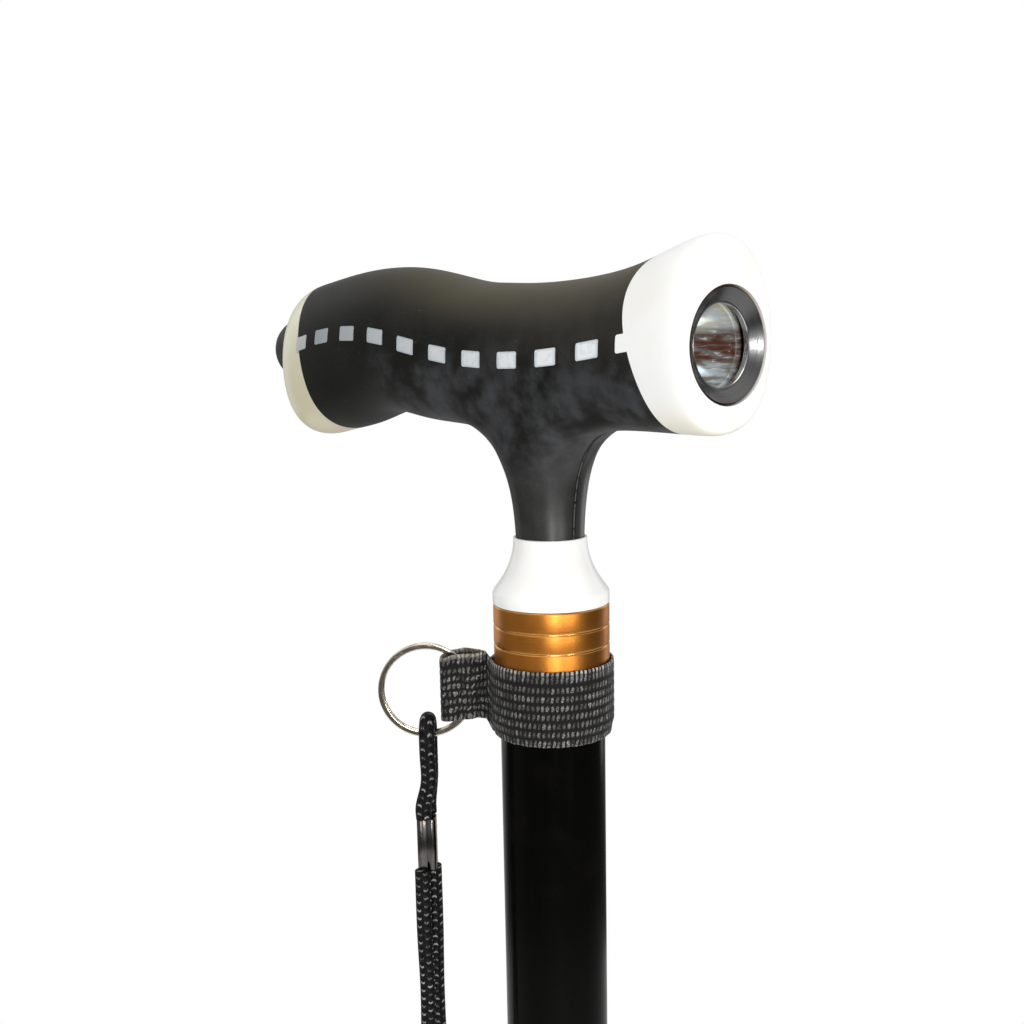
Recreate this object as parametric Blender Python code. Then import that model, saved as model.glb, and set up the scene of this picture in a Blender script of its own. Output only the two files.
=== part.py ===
"""Adjustable walking stick with a torch in its T-shaped handle.

The stick stands upright on +Z.  The centre of the rubber foot's sole is the origin, the
torch looks along +X, and the wrist strap hangs from a webbing tab on the near left side.
Heights in the handle and the neck are given from the lower edge of the white collar.

All values are in metres, written as millimetres times MM.
"""

import math
from dataclasses import dataclass

import bmesh
import bpy
import numpy as np
from mathutils import Matrix, Vector

MM = 0.001

# Fits that the whole stick shares
SEAT_GAP = 0.3 * MM         # between two pieces that touch
CUT_OVER = 5 * MM           # how far a cutter runs past what it cuts
BREAK = 0.4 * MM            # a broken edge
ROUND = 20                  # sides of a turned piece
SMALL_ROUND = 10            # sides of a pin, a hole or a small turned piece
INNER_ROUND = 14            # sides of a turned piece that nothing shows

# Height of the stick
COLLAR_HEIGHT = 800 * MM    # the collar's lower edge over the floor, at the middle setting
HOLE_PITCH = 25.4 * MM
HOLES_EACH_WAY = 3          # settings above and below the middle one

# Tubes
UPPER_TUBE_RADIUS = 11.0 * MM
TUBE_WALL = 1.2 * MM
LOWER_TUBE_RADIUS = UPPER_TUBE_RADIUS - TUBE_WALL - SEAT_GAP    # slides in the upper one
UPPER_TUBE_FOOT = 320 * MM  # height of the upper tube's lower end
LOWER_TUBE_TOP = 480 * MM
SNAP_HEIGHT = 440 * MM      # the snap button in the middle hole

# Snap button and its spring
SNAP_RADIUS = 3.0 * MM
SNAP_CROWN = 1.6 * MM       # how far the button stands out of the upper tube
SNAP_SHANK_RADIUS = 1.4 * MM
SNAP_RIVET_RADIUS = 2.2 * MM
SPRING_STRIP = 0.6 * MM
SPRING_WIDTH = 7.0 * MM
SPRING_LEG = 52 * MM
SPRING_TOP_OVER_BUTTON = 6 * MM
SPRING_BEND = 3.0 * MM
SPRING_IN_TUBE = 1.5 * MM   # from the tube's bore to the leg with the button
SNAP_RIVET_HEAD = 0.9 * MM
SNAP_DOME = ((1.0, 1.4), (0.86, 0.7), (0.55, 0.2))     # share of its radius, millimetres under its top

# Locking collar and bushing at the upper tube's lower end
LOCK_WALL = 3.7 * MM
LOCK_RADIUS = UPPER_TUBE_RADIUS + SEAT_GAP + LOCK_WALL
LOCK_ROUND = 1.2 * MM       # the rounding of its ends
LOCK_MOUTH = 1.3 * MM       # how far the upper end's rounding reaches in
LOCK_ABOVE = 16 * MM        # length over the upper tube
BUSHING_LENGTH = 13 * MM
BUSHING_SHOULDER = 4 * MM   # the straight end above the bushing's cone
LOCK_LIP = 2.4 * MM
LOCK_FLUTES = 8
FLUTE_RADIUS = 2.4 * MM
FLUTE_DEPTH = 1.3 * MM
FLUTE_END = 4 * MM          # from a flute's end to the collar's
BUSHING_WAIST = 1.0 * MM    # the wall at the cone's thin end
BUSHING_SLOTS = 3
BUSHING_SLOT = 1.4 * MM
BUSHING_BRIDGE = 4.0 * MM   # what joins the fingers over the slots

# Foot
FOOT_RADIUS = 19.0 * MM
FOOT_HEIGHT = 48 * MM
FOOT_SOLE = 10 * MM         # rubber under the socket
FOOT_WALL = 2.8 * MM
FOOT_RIM = 5 * MM           # the straight rim over the sole
FOOT_FLARE = 17 * MM        # the height over which the foot narrows to its sleeve
FOOT_RINGS = (30 * MM, 36 * MM)
FOOT_RING = 0.9 * MM        # how far a ring or the lip stands out
FOOT_RING_HEIGHT = 3.0 * MM
FOOT_CHAMFER = 1.0 * MM     # round the sole
FOOT_STEP = 0.8 * MM        # from the rim in to the flare
FOOT_STEP_RISE = 2.0 * MM
SOLE_GROOVES = (7.0 * MM, 12.5 * MM)
SOLE_GROOVE = 1.7 * MM
WASHER_THICKNESS = 1.2 * MM
WASHER_HOLE = 3.0 * MM

# Top plug of the lower tube
PLUG_FLANGE = 3.0 * MM
PLUG_DEPTH = 12 * MM
PLUG_BORE = 4.5 * MM

# Collar, gold ring and neck rod; heights from the collar's lower edge
NECK_RADIUS = 6.95 * MM
NECK_SOCKET_DEPTH = 5.7 * MM
ROD_RADIUS = 3.0 * MM
ROD_TOP = 43.4 * MM
GOLD_WALL = 0.75 * MM
GOLD_RADIUS = UPPER_TUBE_RADIUS + SEAT_GAP + GOLD_WALL
COLLAR_TOP = 13.6 * MM
COLLAR_RADIUS = GOLD_RADIUS + 0.05 * MM     # all but flush with the gold ring
COLLAR_TOP_RADIUS = NECK_RADIUS + 0.65 * MM
COLLAR_STRAIGHT = 2.6 * MM
COLLAR_STEPS = 5            # slices of its flare
COLLAR_HOLLOW = 2.1         # how sharply the flare draws in
SPIGOT_DEPTH = 32 * MM
SPIGOT_CHAMFER = (1.0 * MM, 1.5 * MM)       # in from its side, up from its end
GOLD_LENGTH = 24 * MM
GOLD_GROOVES = (4.7 * MM, 8.5 * MM)
GROOVE_WIDTH = 0.9 * MM
GROOVE_DEPTH = 0.35 * MM
PIN_RADIUS = 1.5 * MM
PIN_DEPTH = 18 * MM

# Webbing band and its tab, with the tab's direction round the stick
WEBBING_TOP = -11.86 * MM
WEBBING_WIDTH = 15.8 * MM
WEBBING_THICKNESS = 0.6 * MM
BAND_STEPS = 28
TAB_DIRECTION = math.radians(227.5)
TAB_LENGTH = 10.5 * MM      # from the band's outside to the fold
# How far the tab's upper and lower edges climb: millimetres out from the band, millimetres up
TAB_TOP_LIFT = ((0.0, 0.0), (0.9, 1.4), (5.8, 1.6), (7.9, 1.25), (10.5, 0.35))
TAB_FOOT_LIFT = ((0.0, 0.0), (0.9, 2.7), (2.9, 3.4), (5.8, 3.2), (10.5, 2.6))
RING_LIFT = 1.15 * MM       # how far the split ring's middle stands over the band's
TAB_ROOT_HALF = 0.75 * MM
TAB_SWELL = 3.5 * MM        # the length over which the two layers part round the pocket
POCKET_FROM_BAND = 1.25 * MM
POCKET_HALF = 2.2 * MM
POCKET_CORNER = 1.1 * MM

# Split ring
WIRE_IN_TAB = 6.55 * MM     # from the tab's fold in to the middle of the wire
RING_RADIUS = 9.5 * MM      # to the middle of the wire
RING_WIRE_WIDTH = 1.2 * MM
RING_WIRE_THICKNESS = 0.6 * MM
RING_TURN_PITCH = 1.02 * MM
RING_STEPS = 24             # points round one turn
RING_CROSSING = 3           # steps in which the wire crosses from one turn to the other
RING_START = 155            # where the wire starts, in degrees from the side that faces away

# Wrist cord and its ferrule
CORD_DIAMETER = 3.3 * MM
RING_STRAND_OUT = 0.4 * MM  # where the upper strands stand at the ferrule, each way from its axis
RING_STRAND_ACROSS = 1.75 * MM
RING_CORD_SIDES = ((10.0, 0.75), (4.0, 0.95))   # millimetres under the ring, share of the room to the wire
RING_CORD_ENTRY = 3.0 * MM  # how far the cord runs straight up from the ferrule
RING_CORD_POINTS = 22
WRIST_CORD_POINTS = 52
FERRULE_UNDER_RING = 18.5 * MM
FERRULE_LENGTH = 11.3 * MM
FERRULE_PAST_RING = 0.9 * MM
FERRULE_WIDTH = 4.1 * MM
FERRULE_DEPTH = 4.0 * MM
FERRULE_GROOVE = 0.5 * MM

# Handle: rubber over a plastic core
RUBBER = 1.8 * MM
AROUND = 16                 # cage points round a section
CUT_HALF = 20 * MM          # half the width of what cuts across the handle or the neck
SPACE_OVER = 1.0 * MM       # how far the rubber's space stands out of the handle
WINDOW_PITCH = 11.07        # millimetres along the handle, from the first one's middle
WINDOW_FIRST = -74.49
WINDOW_LENGTH = 5.7 * MM
TAB_MORE = 1.1 * MM         # how much further the first and last ones reach each way
WINDOW_HEIGHT = 3.2 * MM
WINDOW_LEVELS = (53.2, 54.9, 55.4, 54.65, 52.6, 50.8, 49.75, 49.55, 50.05, 51.3, 52.8)     # millimetres

# Torch, on one axis through the handle
TORCH_LEVEL = 51.8 * MM
FACE = 46.7 * MM            # the head's front, from the stick's axis
REAR_ROOM = 20.3 * MM       # from the switch's shoulder to the handle's rear face
BEZEL_RADIUS = 10.16 * MM
BEZEL_LENGTH = 10.0 * MM
BEZEL_WALL = 1.0 * MM
BEZEL_INSET = 0.4 * MM
BEZEL_CONE_DEPTH = 1.5 * MM
BEZEL_LIP = 2.86 * MM       # from the ring's outside in to the sight of the lens
LENS_SIGHT_RADIUS = BEZEL_RADIUS - BEZEL_LIP
SEAL_RADIUS = 0.45 * MM
BOARD_DEPTH = 3.6 * MM      # the lamp board's shoulder, behind the bezel's
LED_RADIUS = 2.5 * MM
LED_BASE = 0.9 * MM
LED_DOME_RADIUS = 1.9 * MM
LED_DOME = 1.6 * MM
CUP_THROAT = 3.2 * MM       # radius of the hole in the bottom of the cup
CUP_WALL = 0.8 * MM
CUP_STEPS = 3
CUP_SLOPE = 0.72            # the part of each step that lies on its slope
CUP_FOOT = 2.2 * MM         # width of the flat bottom round the lamp
CUP_RIM = 1.6 * MM          # height of the straight rim
LIP_THICKNESS = 0.9 * MM
LENS_THICKNESS = 1.2 * MM
BOARD_THICKNESS = 1.2 * MM
CELL_RADIUS = 5.25 * MM
CELL_LENGTH = 44.5 * MM
CELL_NUB_RADIUS = 1.9 * MM
CELL_NUB = 0.9 * MM
BATTERY_BORE = CELL_RADIUS + 0.65 * MM
CONTACT_LENGTH = 4.2 * MM
FRONT_CONTACT_RADIUS = 1.4 * MM     # bears on the front cell's nub
REAR_CONTACT_RADIUS = 3.0 * MM
CONTACT_WIRE = 0.35 * MM
SWITCH_LENGTH = 8.2 * MM
SWITCH_FLOOR = 1.2 * MM
SWITCH_WIRE = 0.2 * MM
PLUNGER_RADIUS = 2.0 * MM
SWITCH_COIL_INSET = 0.5 * MM        # the spring's middle, in from the plunger's side
PLUNGER_IN_SWITCH = 3.0 * MM
BUTTON_RADIUS = 7.6 * MM
BUTTON_OUT = 8.1 * MM       # how far it stands out of the rear face
BUTTON_DOME = ((3.6, 0.3), (1.2, 0.9), (0.3, 1.8), (0.0, 3.1))     # millimetres in from its side and its tip
BUTTON_ROOF = 3.6 * MM
BUTTON_TRAVEL = 1.5 * MM
BUTTON_WALL = 1.5 * MM
BUTTON_STEM = 8.2 * MM      # from the tip to the end of the stem that pushes the plunger


@dataclass(frozen=True)
class Look:
    """A plain finish: its colour, its roughness and how metallic it is."""

    colour: tuple
    roughness: float
    metallic: float = 0.0


LOOKS = {
    "rubber_black": Look((0.055, 0.053, 0.048), 0.75),
    "plastic_white": Look((0.86, 0.86, 0.83), 0.35),
    "plastic_black": Look((0.03, 0.03, 0.03), 0.5),
    "gold_anodised": Look((0.85, 0.42, 0.08), 0.25, 1.0),
    "tube_black": Look((0.012, 0.012, 0.012), 0.2),
    "steel": Look((0.6, 0.6, 0.58), 0.3, 1.0),
    "nickel": Look((0.75, 0.72, 0.66), 0.15, 1.0),
    "grey_metal": Look((0.38, 0.39, 0.41), 0.35, 1.0),
    "chrome": Look((0.85, 0.85, 0.86), 0.08, 1.0),
    "clear": Look((0.9, 0.93, 0.95), 0.05),
    "led_dome": Look((0.9, 0.75, 0.55), 0.2),
    "board": Look((0.85, 0.85, 0.82), 0.5),
    "cell": Look((0.2, 0.22, 0.25), 0.35, 0.6),
    "webbing": Look((0.07, 0.07, 0.075), 0.9),
    "cord": Look((0.06, 0.06, 0.065), 0.85),
}


@dataclass(frozen=True)
class Section:
    """An upright slice of the handle, in millimetres from the stick's axis and the collar's edge."""

    x: float
    top: float
    bottom: float
    half_width: float


# From the rear face to the head's front
SECTIONS = (
    Section(-87.4, 58.0, 42.5, 5.0),
    Section(-86.8, 63.4, 35.5, 8.9),
    Section(-84.8, 65.8, 31.9, 10.8),
    Section(-80.0, 67.3, 30.7, 12.0),
    Section(-73.0, 68.1, 32.5, 12.6),
    Section(-61.5, 69.6, 34.0, 13.0),
    Section(-49.0, 70.2, 38.9, 13.2),
    Section(-36.0, 69.3, 35.9, 13.2),
    Section(-19.0, 65.3, 35.8, 13.2),
    Section(-12.0, 65.0, 35.0, 13.3),
    Section(-2.5, 64.4, 35.0, 13.4),
    Section(7.0, 64.5, 35.0, 13.5),
    Section(16.5, 65.0, 36.2, 13.6),
    Section(28.5, 66.5, 36.4, 13.6),
    Section(40.5, 70.8, 36.1, 13.5),
    Section(45.2, 71.0, 36.1, 13.0),
    Section(46.6, 69.6, 37.3, 12.0),
    Section(46.7, 62.0, 44.0, 7.2),
)
NECK_FROM, NECK_TO = 8, 12     # the sections that the neck's root spans


@dataclass(frozen=True)
class NeckRing:
    """A level slice of the neck: its height, half-length, half-width and middle, in millimetres."""

    level: float
    half_length: float
    half_width: float
    middle: float


NECK_RINGS = (
    NeckRing(33.6, 13.4, 9.8, -1.0),
    NeckRing(29.5, 10.3, 9.1, -0.7),
    NeckRing(24.5, 8.0, 8.0, -0.2),
    NeckRing(16.0, NECK_RADIUS / MM, NECK_RADIUS / MM, 0.0),
    NeckRing(3.0, NECK_RADIUS / MM, NECK_RADIUS / MM, 0.0),
)

# Where the rubber ends, as the four corners of a curve in the upright middle plane, in the
# sections' millimetres
FRONT_EDGE = ((36.0, 72.0), (26.5, 63.0), (39.3, 48.0), (38.3, 33.0))
REAR_EDGE = ((-81.5, 72.0), (-71.0, 50.0), (-73.5, 42.0), (-67.5, 29.5))
EDGE_STEPS = 10

# The wrist loop's route: distance from the ferrule's axis along the tab's direction, distance
# square to it, and height from the ferrule's lower end, in millimetres
WRIST_ROUTE = (
    (-1.1, 1.4, -0.3), (-1.1, 1.4, -14.2), (-0.9, 1.6, -30.2), (-1.2, 2.2, -46.2),
    (-2.4, 5.0, -66.2), (-4.8, 11.5, -90.2), (-6.6, 18.0, -118.2), (-6.8, 21.5, -146.2),
    (-5.0, 18.5, -172.2), (-2.0, 9.5, -190.2), (0.8, -1.0, -195.7), (3.6, -11.0, -189.2),
    (6.4, -19.5, -170.2), (7.8, -21.5, -144.2), (7.2, -17.0, -116.2), (5.2, -10.5, -89.2),
    (3.0, -4.6, -66.2), (1.4, -2.2, -46.2), (0.8, -1.6, -30.2), (1.1, -1.4, -14.2), (1.1, -1.4, -0.3),
)


def reset_scene():
    """Removes what the scene holds."""
    for thing in list(bpy.data.objects):
        bpy.data.objects.remove(thing, do_unlink=True)


def finish(name):
    """The material of that name."""
    found = bpy.data.materials.get(name)
    if found:
        return found
    look = LOOKS[name]
    made = bpy.data.materials.new(name)
    made.use_nodes = True
    shader = made.node_tree.nodes["Principled BSDF"]
    shader.inputs["Base Color"].default_value = (*look.colour, 1.0)
    shader.inputs["Roughness"].default_value = look.roughness
    shader.inputs["Metallic"].default_value = look.metallic
    return made


def pivot(name, at=(0.0, 0.0, 0.0), parent=None):
    """An empty on a joint's axis, which carries the pieces that move about it."""
    made = bpy.data.objects.new(name, None)
    bpy.context.collection.objects.link(made)
    place(made, at, parent)
    return made


def world_place(thing):
    """Where an object stands, through its parents, none of which is turned."""
    at = Vector(thing.location)
    while thing.parent:
        thing = thing.parent
        at += thing.location
    return at


def place(thing, at, parent=None, turn=(0.0, 0.0, 0.0)):
    """Stands an object at a place in the world, under its parent."""
    if parent:
        thing.parent = parent
        at = Vector(at) - world_place(parent)
    thing.location = at
    thing.rotation_euler = turn
    return thing


def solid(name, shape, look, at=(0.0, 0.0, 0.0), parent=None, turn=(0.0, 0.0, 0.0)):
    """An object made of a bmesh, with its faces turned out and its round sides smooth."""
    bmesh.ops.recalc_face_normals(shape, faces=shape.faces)
    mesh = bpy.data.meshes.new(name)
    shape.to_mesh(mesh)
    shape.free()
    mesh.shade_smooth()
    mesh.set_sharp_from_angle(angle=math.radians(35))
    made = bpy.data.objects.new(name, mesh)
    bpy.context.collection.objects.link(made)
    made.data.materials.append(finish(look))
    return place(made, at, parent, turn)


def cutter(name, shape, at=(0.0, 0.0, 0.0), parent=None, turn=(0.0, 0.0, 0.0)):
    """A solid that only cuts others."""
    made = solid(name, shape, "plastic_black", at, parent, turn)
    made.hide_render = True
    made.display_type = "WIRE"
    return made


def boolean(thing, tool, operation="DIFFERENCE"):
    """Cuts an object with another one, or joins or intersects them."""
    step = thing.modifiers.new(tool.name, "BOOLEAN")
    step.operation = operation
    step.object = tool
    step.solver = "EXACT"


def stitch(shape, first, second):
    """Faces between two loops of points, or between a loop and a single point."""
    if len(first) == 1:
        first, second = second, first
    count = len(first)
    for k in range(count):
        following = (k + 1) % count
        if len(second) == 1:
            shape.faces.new((first[k], first[following], second[0]))
        else:
            shape.faces.new((first[k], first[following], second[following], second[k]))


def circle(radius, sides):
    """Points round a circle about the origin."""
    angles = [2 * math.pi * k / sides for k in range(sides)]
    return [(radius * math.cos(angle), radius * math.sin(angle)) for angle in angles]


def turned(profile, sides=ROUND):
    """A solid of revolution about Z.

    A profile of (radius, height) points that starts and ends on the axis makes a full
    piece, and any other profile closes on itself and makes a ring.
    """
    shape = bmesh.new()
    loops = []
    for radius, height in profile:
        if radius == 0:
            loops.append([shape.verts.new((0.0, 0.0, height))])
            continue
        loops.append([shape.verts.new((x, y, height)) for x, y in circle(radius, sides)])
    for first, second in zip(loops, loops[1:]):
        stitch(shape, first, second)
    if profile[0][0] > 0:
        stitch(shape, loops[-1], loops[0])
    return shape


def cylinder(radius, low, high, sides=SMALL_ROUND):
    """A plain cylinder about Z."""
    return turned(((0.0, low), (radius, low), (radius, high), (0.0, high)), sides)


def extruded(outline, depth, holes=()):
    """An outline in the XY plane raised by a depth, with any holes through it."""
    shape = bmesh.new()
    loops = []
    for ring in (outline, *holes):
        low = [shape.verts.new((x, y, 0.0)) for x, y in ring]
        high = [shape.verts.new((x, y, depth)) for x, y in ring]
        stitch(shape, low, high)
        loops.append((low, high))
    for side in (0, 1):
        rims = [pair[side] for pair in loops]
        edges = []
        for rim in rims:
            for k, corner in enumerate(rim):
                edges.append(shape.edges.get((corner, rim[(k + 1) % len(rim)])))
        bmesh.ops.triangle_fill(shape, use_beauty=True, use_dissolve=False, edges=edges)
    return shape


def tube_along(name, points, radius, look, resolution, at, parent, turn=(0.0, 0.0, 0.0)):
    """A round wire or cord along a list of points, with closed ends."""
    curve = bpy.data.curves.new(name, "CURVE")
    curve.dimensions = "3D"
    curve.bevel_depth = radius
    curve.bevel_resolution = resolution
    curve.use_fill_caps = True
    curve.resolution_u = 1
    curve.render_resolution_u = 0
    line = curve.splines.new("POLY")
    line.points.add(len(points) - 1)
    for spot, point in zip(line.points, points):
        spot.co = (*point, 1.0)
    made = bpy.data.objects.new(name, curve)
    bpy.context.collection.objects.link(made)
    made.data.materials.append(finish(look))
    return place(made, at, parent, turn)


def smooth_route(points, count):
    """Evenly spaced points on a smooth curve through a route's own points."""
    knots = np.array(points, dtype=float)
    before = np.vstack((2 * knots[0] - knots[1], knots, 2 * knots[-1] - knots[-2]))
    fine = []
    for k in range(len(knots) - 1):
        a, b, c, d = before[k:k + 4]
        for t in np.linspace(0.0, 1.0, 16, endpoint=False):
            fine.append(0.5 * (2 * b + (c - a) * t + (2 * a - 5 * b + 4 * c - d) * t ** 2
                               + (3 * b - a - 3 * c + d) * t ** 3))
    fine.append(knots[-1])
    fine = np.array(fine)
    run = np.concatenate(([0.0], np.cumsum(np.linalg.norm(np.diff(fine, axis=0), axis=1))))
    steps = np.linspace(0.0, run[-1], count)
    return np.stack([np.interp(steps, run, fine[:, k]) for k in range(3)], axis=1)


def coil(radius, wire, length, turns, per_turn=7):
    """Points of a compression spring about Z, with a closed turn at each end."""
    count = turns * per_turn
    points = []
    for k in range(count + 1):
        share = k / count
        angle = 2 * math.pi * turns * share
        height = wire + (length - 2 * wire) * share
        points.append((radius * math.cos(angle), radius * math.sin(angle), height))
    return points


def tab_side(distance, across, height):
    """A place beside the stick, along the tab's direction and square to it."""
    along = Vector((math.cos(TAB_DIRECTION), math.sin(TAB_DIRECTION), 0.0))
    square = Vector((math.sin(TAB_DIRECTION), -math.cos(TAB_DIRECTION), 0.0))
    return along * distance + square * across + Vector((0.0, 0.0, height))


TO_X = (0.0, math.pi / 2, 0.0)      # turns a piece made about Z to lie along +X


def cage_spread():
    """How far the cage stands out from a round section that it smooths into."""
    return 3 / (2 + math.cos(2 * math.pi / AROUND))


def along_handle(x):
    """A place along the handle, for a length in the sections' millimetres.

    The first section lies on the rear face and the last one on the head's front, and what
    lies between them and the neck's root keeps its share of the way.
    """
    rear, front = SECTIONS[0].x, SECTIONS[-1].x
    root_rear, root_front = SECTIONS[NECK_FROM].x, SECTIONS[NECK_TO].x
    if x < root_rear:
        share = (x - root_rear) / (rear - root_rear)
        return root_rear * MM + share * (rear_face() - root_rear * MM)
    if x > root_front:
        share = (x - root_front) / (front - root_front)
        return root_front * MM + share * (FACE - root_front * MM)
    return x * MM


def section_loop(section, inset):
    """The cage points round one slice of the handle, from the top towards +Y."""
    middle = (section.top + section.bottom) / 2 - 0.6
    spread = cage_spread()
    points = []
    for k in range(AROUND):
        angle = 2 * math.pi * k / AROUND
        side, rise = math.sin(angle), math.cos(angle)
        power = 1.0 if rise >= 0 else 0.86
        reach = (section.top - middle) if rise >= 0 else (middle - section.bottom)
        across = math.copysign(abs(side) ** power, side) * (section.half_width * MM - inset)
        height = math.copysign(abs(rise) ** power, rise) * (reach * MM - inset)
        points.append((along_handle(section.x), across * spread, middle * MM + height * spread))
    return points


def neck_loop(ring, inset, level):
    """The cage points round one slice of the neck at a level, from the rear towards +Y."""
    spread = cage_spread()
    points = []
    for k in range(AROUND):
        angle = math.pi - 2 * math.pi * k / AROUND
        x = ring.middle * MM + (ring.half_length * MM - inset) * spread * math.cos(angle)
        y = (ring.half_width * MM - inset) * spread * math.sin(angle)
        points.append((x, y, level))
    return points


def core_foot():
    """The level of the core's lower end, in the collar's socket."""
    return COLLAR_TOP - NECK_SOCKET_DEPTH + SEAT_GAP


def handle_cage(inset, foot=None):
    """The handle's whole form, neck included, as a cage for a subdivision surface.

    The neck ends at its last ring, or at the level of a foot that is given.
    """
    shape = bmesh.new()
    lift = Matrix.Translation((0.0, 0.0, COLLAR_HEIGHT))
    slices = []
    for section in SECTIONS:
        slices.append([shape.verts.new(lift @ Vector(point)) for point in section_loop(section, inset)])
    quarter = AROUND // 8
    bottom = AROUND // 2
    root = range(bottom - quarter, bottom + quarter)
    for k, (first, second) in enumerate(zip(slices, slices[1:])):
        for j in range(AROUND):
            if NECK_FROM <= k < NECK_TO and j in root:
                continue
            following = (j + 1) % AROUND
            shape.faces.new((first[j], first[following], second[following], second[j]))
    shape.faces.new(slices[0])
    shape.faces.new(slices[-1])

    rear, front = slices[NECK_FROM], slices[NECK_TO]
    between = range(NECK_FROM + 1, NECK_TO)
    left, right = bottom - quarter, bottom + quarter
    rim = [rear[j] for j in range(bottom, left - 1, -1)]
    rim += [slices[k][left] for k in between]
    rim += [front[j] for j in range(left, right + 1)]
    rim += [slices[k][right] for k in reversed(between)]
    rim += [rear[j] for j in range(right, bottom, -1)]
    for ring in NECK_RINGS:
        level = ring.level * MM + inset
        if foot is not None and ring is NECK_RINGS[-1]:
            level = foot
        loop = [shape.verts.new(lift @ Vector(point)) for point in neck_loop(ring, inset, level)]
        stitch(shape, rim, loop)
        rim = loop
    shape.faces.new(rim)
    return shape


def subdivide(thing):
    """Smooths a cage into the surface that it stands for."""
    step = thing.modifiers.new("smooth", "SUBSURF")
    step.levels = 1
    step.render_levels = 1


def edge_curve(corners, shift):
    """Points of the rubber's edge in the upright middle plane, moved along X."""
    first, second, third, last = (Vector((along_handle(x), level * MM)) for x, level in corners)
    points = []
    for k in range(EDGE_STEPS + 1):
        t = k / EDGE_STEPS
        s = 1 - t
        spot = first * s ** 3 + second * 3 * t * s ** 2 + third * 3 * t ** 2 * s + last * t ** 3
        points.append((spot.x + shift, spot.y))
    return points


def edge_block(name, corners, shift, far):
    """A block that covers the handle from one edge of the rubber to beyond its end."""
    curve = edge_curve(corners, shift)
    outline = curve + [(far, curve[-1][1]), (far, curve[0][1])]
    shape = extruded(outline, 2 * CUT_HALF)
    # From the XY plane to the upright XZ plane, centred on the handle
    stand = Matrix.Translation((0.0, CUT_HALF, COLLAR_HEIGHT)) @ Matrix.Rotation(math.pi / 2, 4, "X")
    bmesh.ops.transform(shape, matrix=stand, verts=shape.verts)
    return cutter(name, shape)


def window_bars(name, grow):
    """Bars through the handle, one for each pair of light squares, sloped along their row."""
    shape = bmesh.new()
    last = len(WINDOW_LEVELS) - 1
    places = [along_handle(WINDOW_FIRST + k * WINDOW_PITCH) for k in range(last + 1)]
    for k, level in enumerate(WINDOW_LEVELS):
        x = places[k]
        before, after = max(k - 1, 0), min(k + 1, last)
        slope = (WINDOW_LEVELS[after] - WINDOW_LEVELS[before]) * MM / (places[after] - places[before])
        half = WINDOW_LENGTH / 2 + grow + (TAB_MORE if k in (0, last) else 0.0)
        corners = []
        for along, up in ((-1, -1), (1, -1), (1, 1), (-1, 1)):
            rise = slope * along * half + up * (WINDOW_HEIGHT / 2 + grow)
            corners.append((x + along * half, COLLAR_HEIGHT + level * MM + rise))
        near = [shape.verts.new((cx, -CUT_HALF, cz)) for cx, cz in corners]
        far = [shape.verts.new((cx, CUT_HALF, cz)) for cx, cz in corners]
        stitch(shape, near, far)
        shape.faces.new(near)
        shape.faces.new(far)
    return cutter(name, shape)


def rubber_space(name, gap):
    """The space that the rubber fills round the core, drawn in by a gap on every side."""
    space = cutter(name, handle_cage(-SPACE_OVER))
    subdivide(space)
    # The hidden side is the plain cage, split the same way for the core and the rubber
    inner = handle_cage(RUBBER - gap, core_foot())
    bmesh.ops.triangulate(inner, faces=inner.faces, quad_method="FIXED")
    boolean(space, cutter(name + "_inner", inner))
    boolean(space, edge_block(name + "_front", FRONT_EDGE, -gap, FACE + CUT_OVER))
    boolean(space, edge_block(name + "_rear", REAR_EDGE, gap, rear_face() - CUT_OVER))
    boolean(space, window_bars(name + "_windows", gap))
    return space


def below(name, level):
    """A block that cuts off everything under a level of the neck."""
    outline = [(-CUT_HALF, -CUT_HALF), (CUT_HALF, -CUT_HALF), (CUT_HALF, CUT_HALF), (-CUT_HALF, CUT_HALF)]
    return cutter(name, extruded(outline, CUT_HALF), (0.0, 0.0, COLLAR_HEIGHT + level - CUT_HALF))


def build_handle(body):
    """The white core with its raised squares, and the rubber moulded over it.

    What isn't the rubber's space is the core, down to its foot in the collar.
    """
    bezel_bore = BEZEL_RADIUS + SEAT_GAP
    board_bore = board_radius() + SEAT_GAP
    switch_bore = BUTTON_RADIUS + SEAT_GAP
    core = solid("handle_core", handle_cage(0.0), "plastic_white", parent=body)
    subdivide(core)
    boolean(core, rubber_space("core_relief", 0.0))
    rear, front = rear_face() - CUT_OVER, FACE + CUT_OVER
    bore = turned((
        (0.0, rear), (switch_bore, rear), (switch_bore, switch_seat()), (BATTERY_BORE, switch_seat()),
        (BATTERY_BORE, board_seat()), (board_bore, board_seat()), (board_bore, bezel_seat()),
        (bezel_bore, bezel_seat()), (bezel_bore, front), (0.0, front)))
    boolean(core, cutter("torch_bore", bore, torch_place(0.0), turn=TO_X))
    rod_hole = cylinder(ROD_RADIUS + SEAT_GAP, 0.0, ROD_TOP + SEAT_GAP)
    boolean(core, cutter("rod_hole", rod_hole, (0.0, 0.0, COLLAR_HEIGHT)))

    grip = solid("grip_sleeve", handle_cage(0.0), "rubber_black", parent=body)
    subdivide(grip)
    boolean(grip, rubber_space("grip_space", SEAT_GAP), "INTERSECT")
    boolean(grip, below("grip_foot", COLLAR_TOP + SEAT_GAP))


def torch_place(x):
    """A place on the torch's axis."""
    return (x, 0.0, COLLAR_HEIGHT + TORCH_LEVEL)


def bezel_back():
    """Where the bezel ring's skirt ends."""
    return FACE - BEZEL_INSET - BEZEL_LENGTH


def bezel_seat():
    """The shoulder behind the bezel ring, a seal's thickness away."""
    return bezel_back() - 2 * SEAL_RADIUS - 2 * SEAT_GAP


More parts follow.
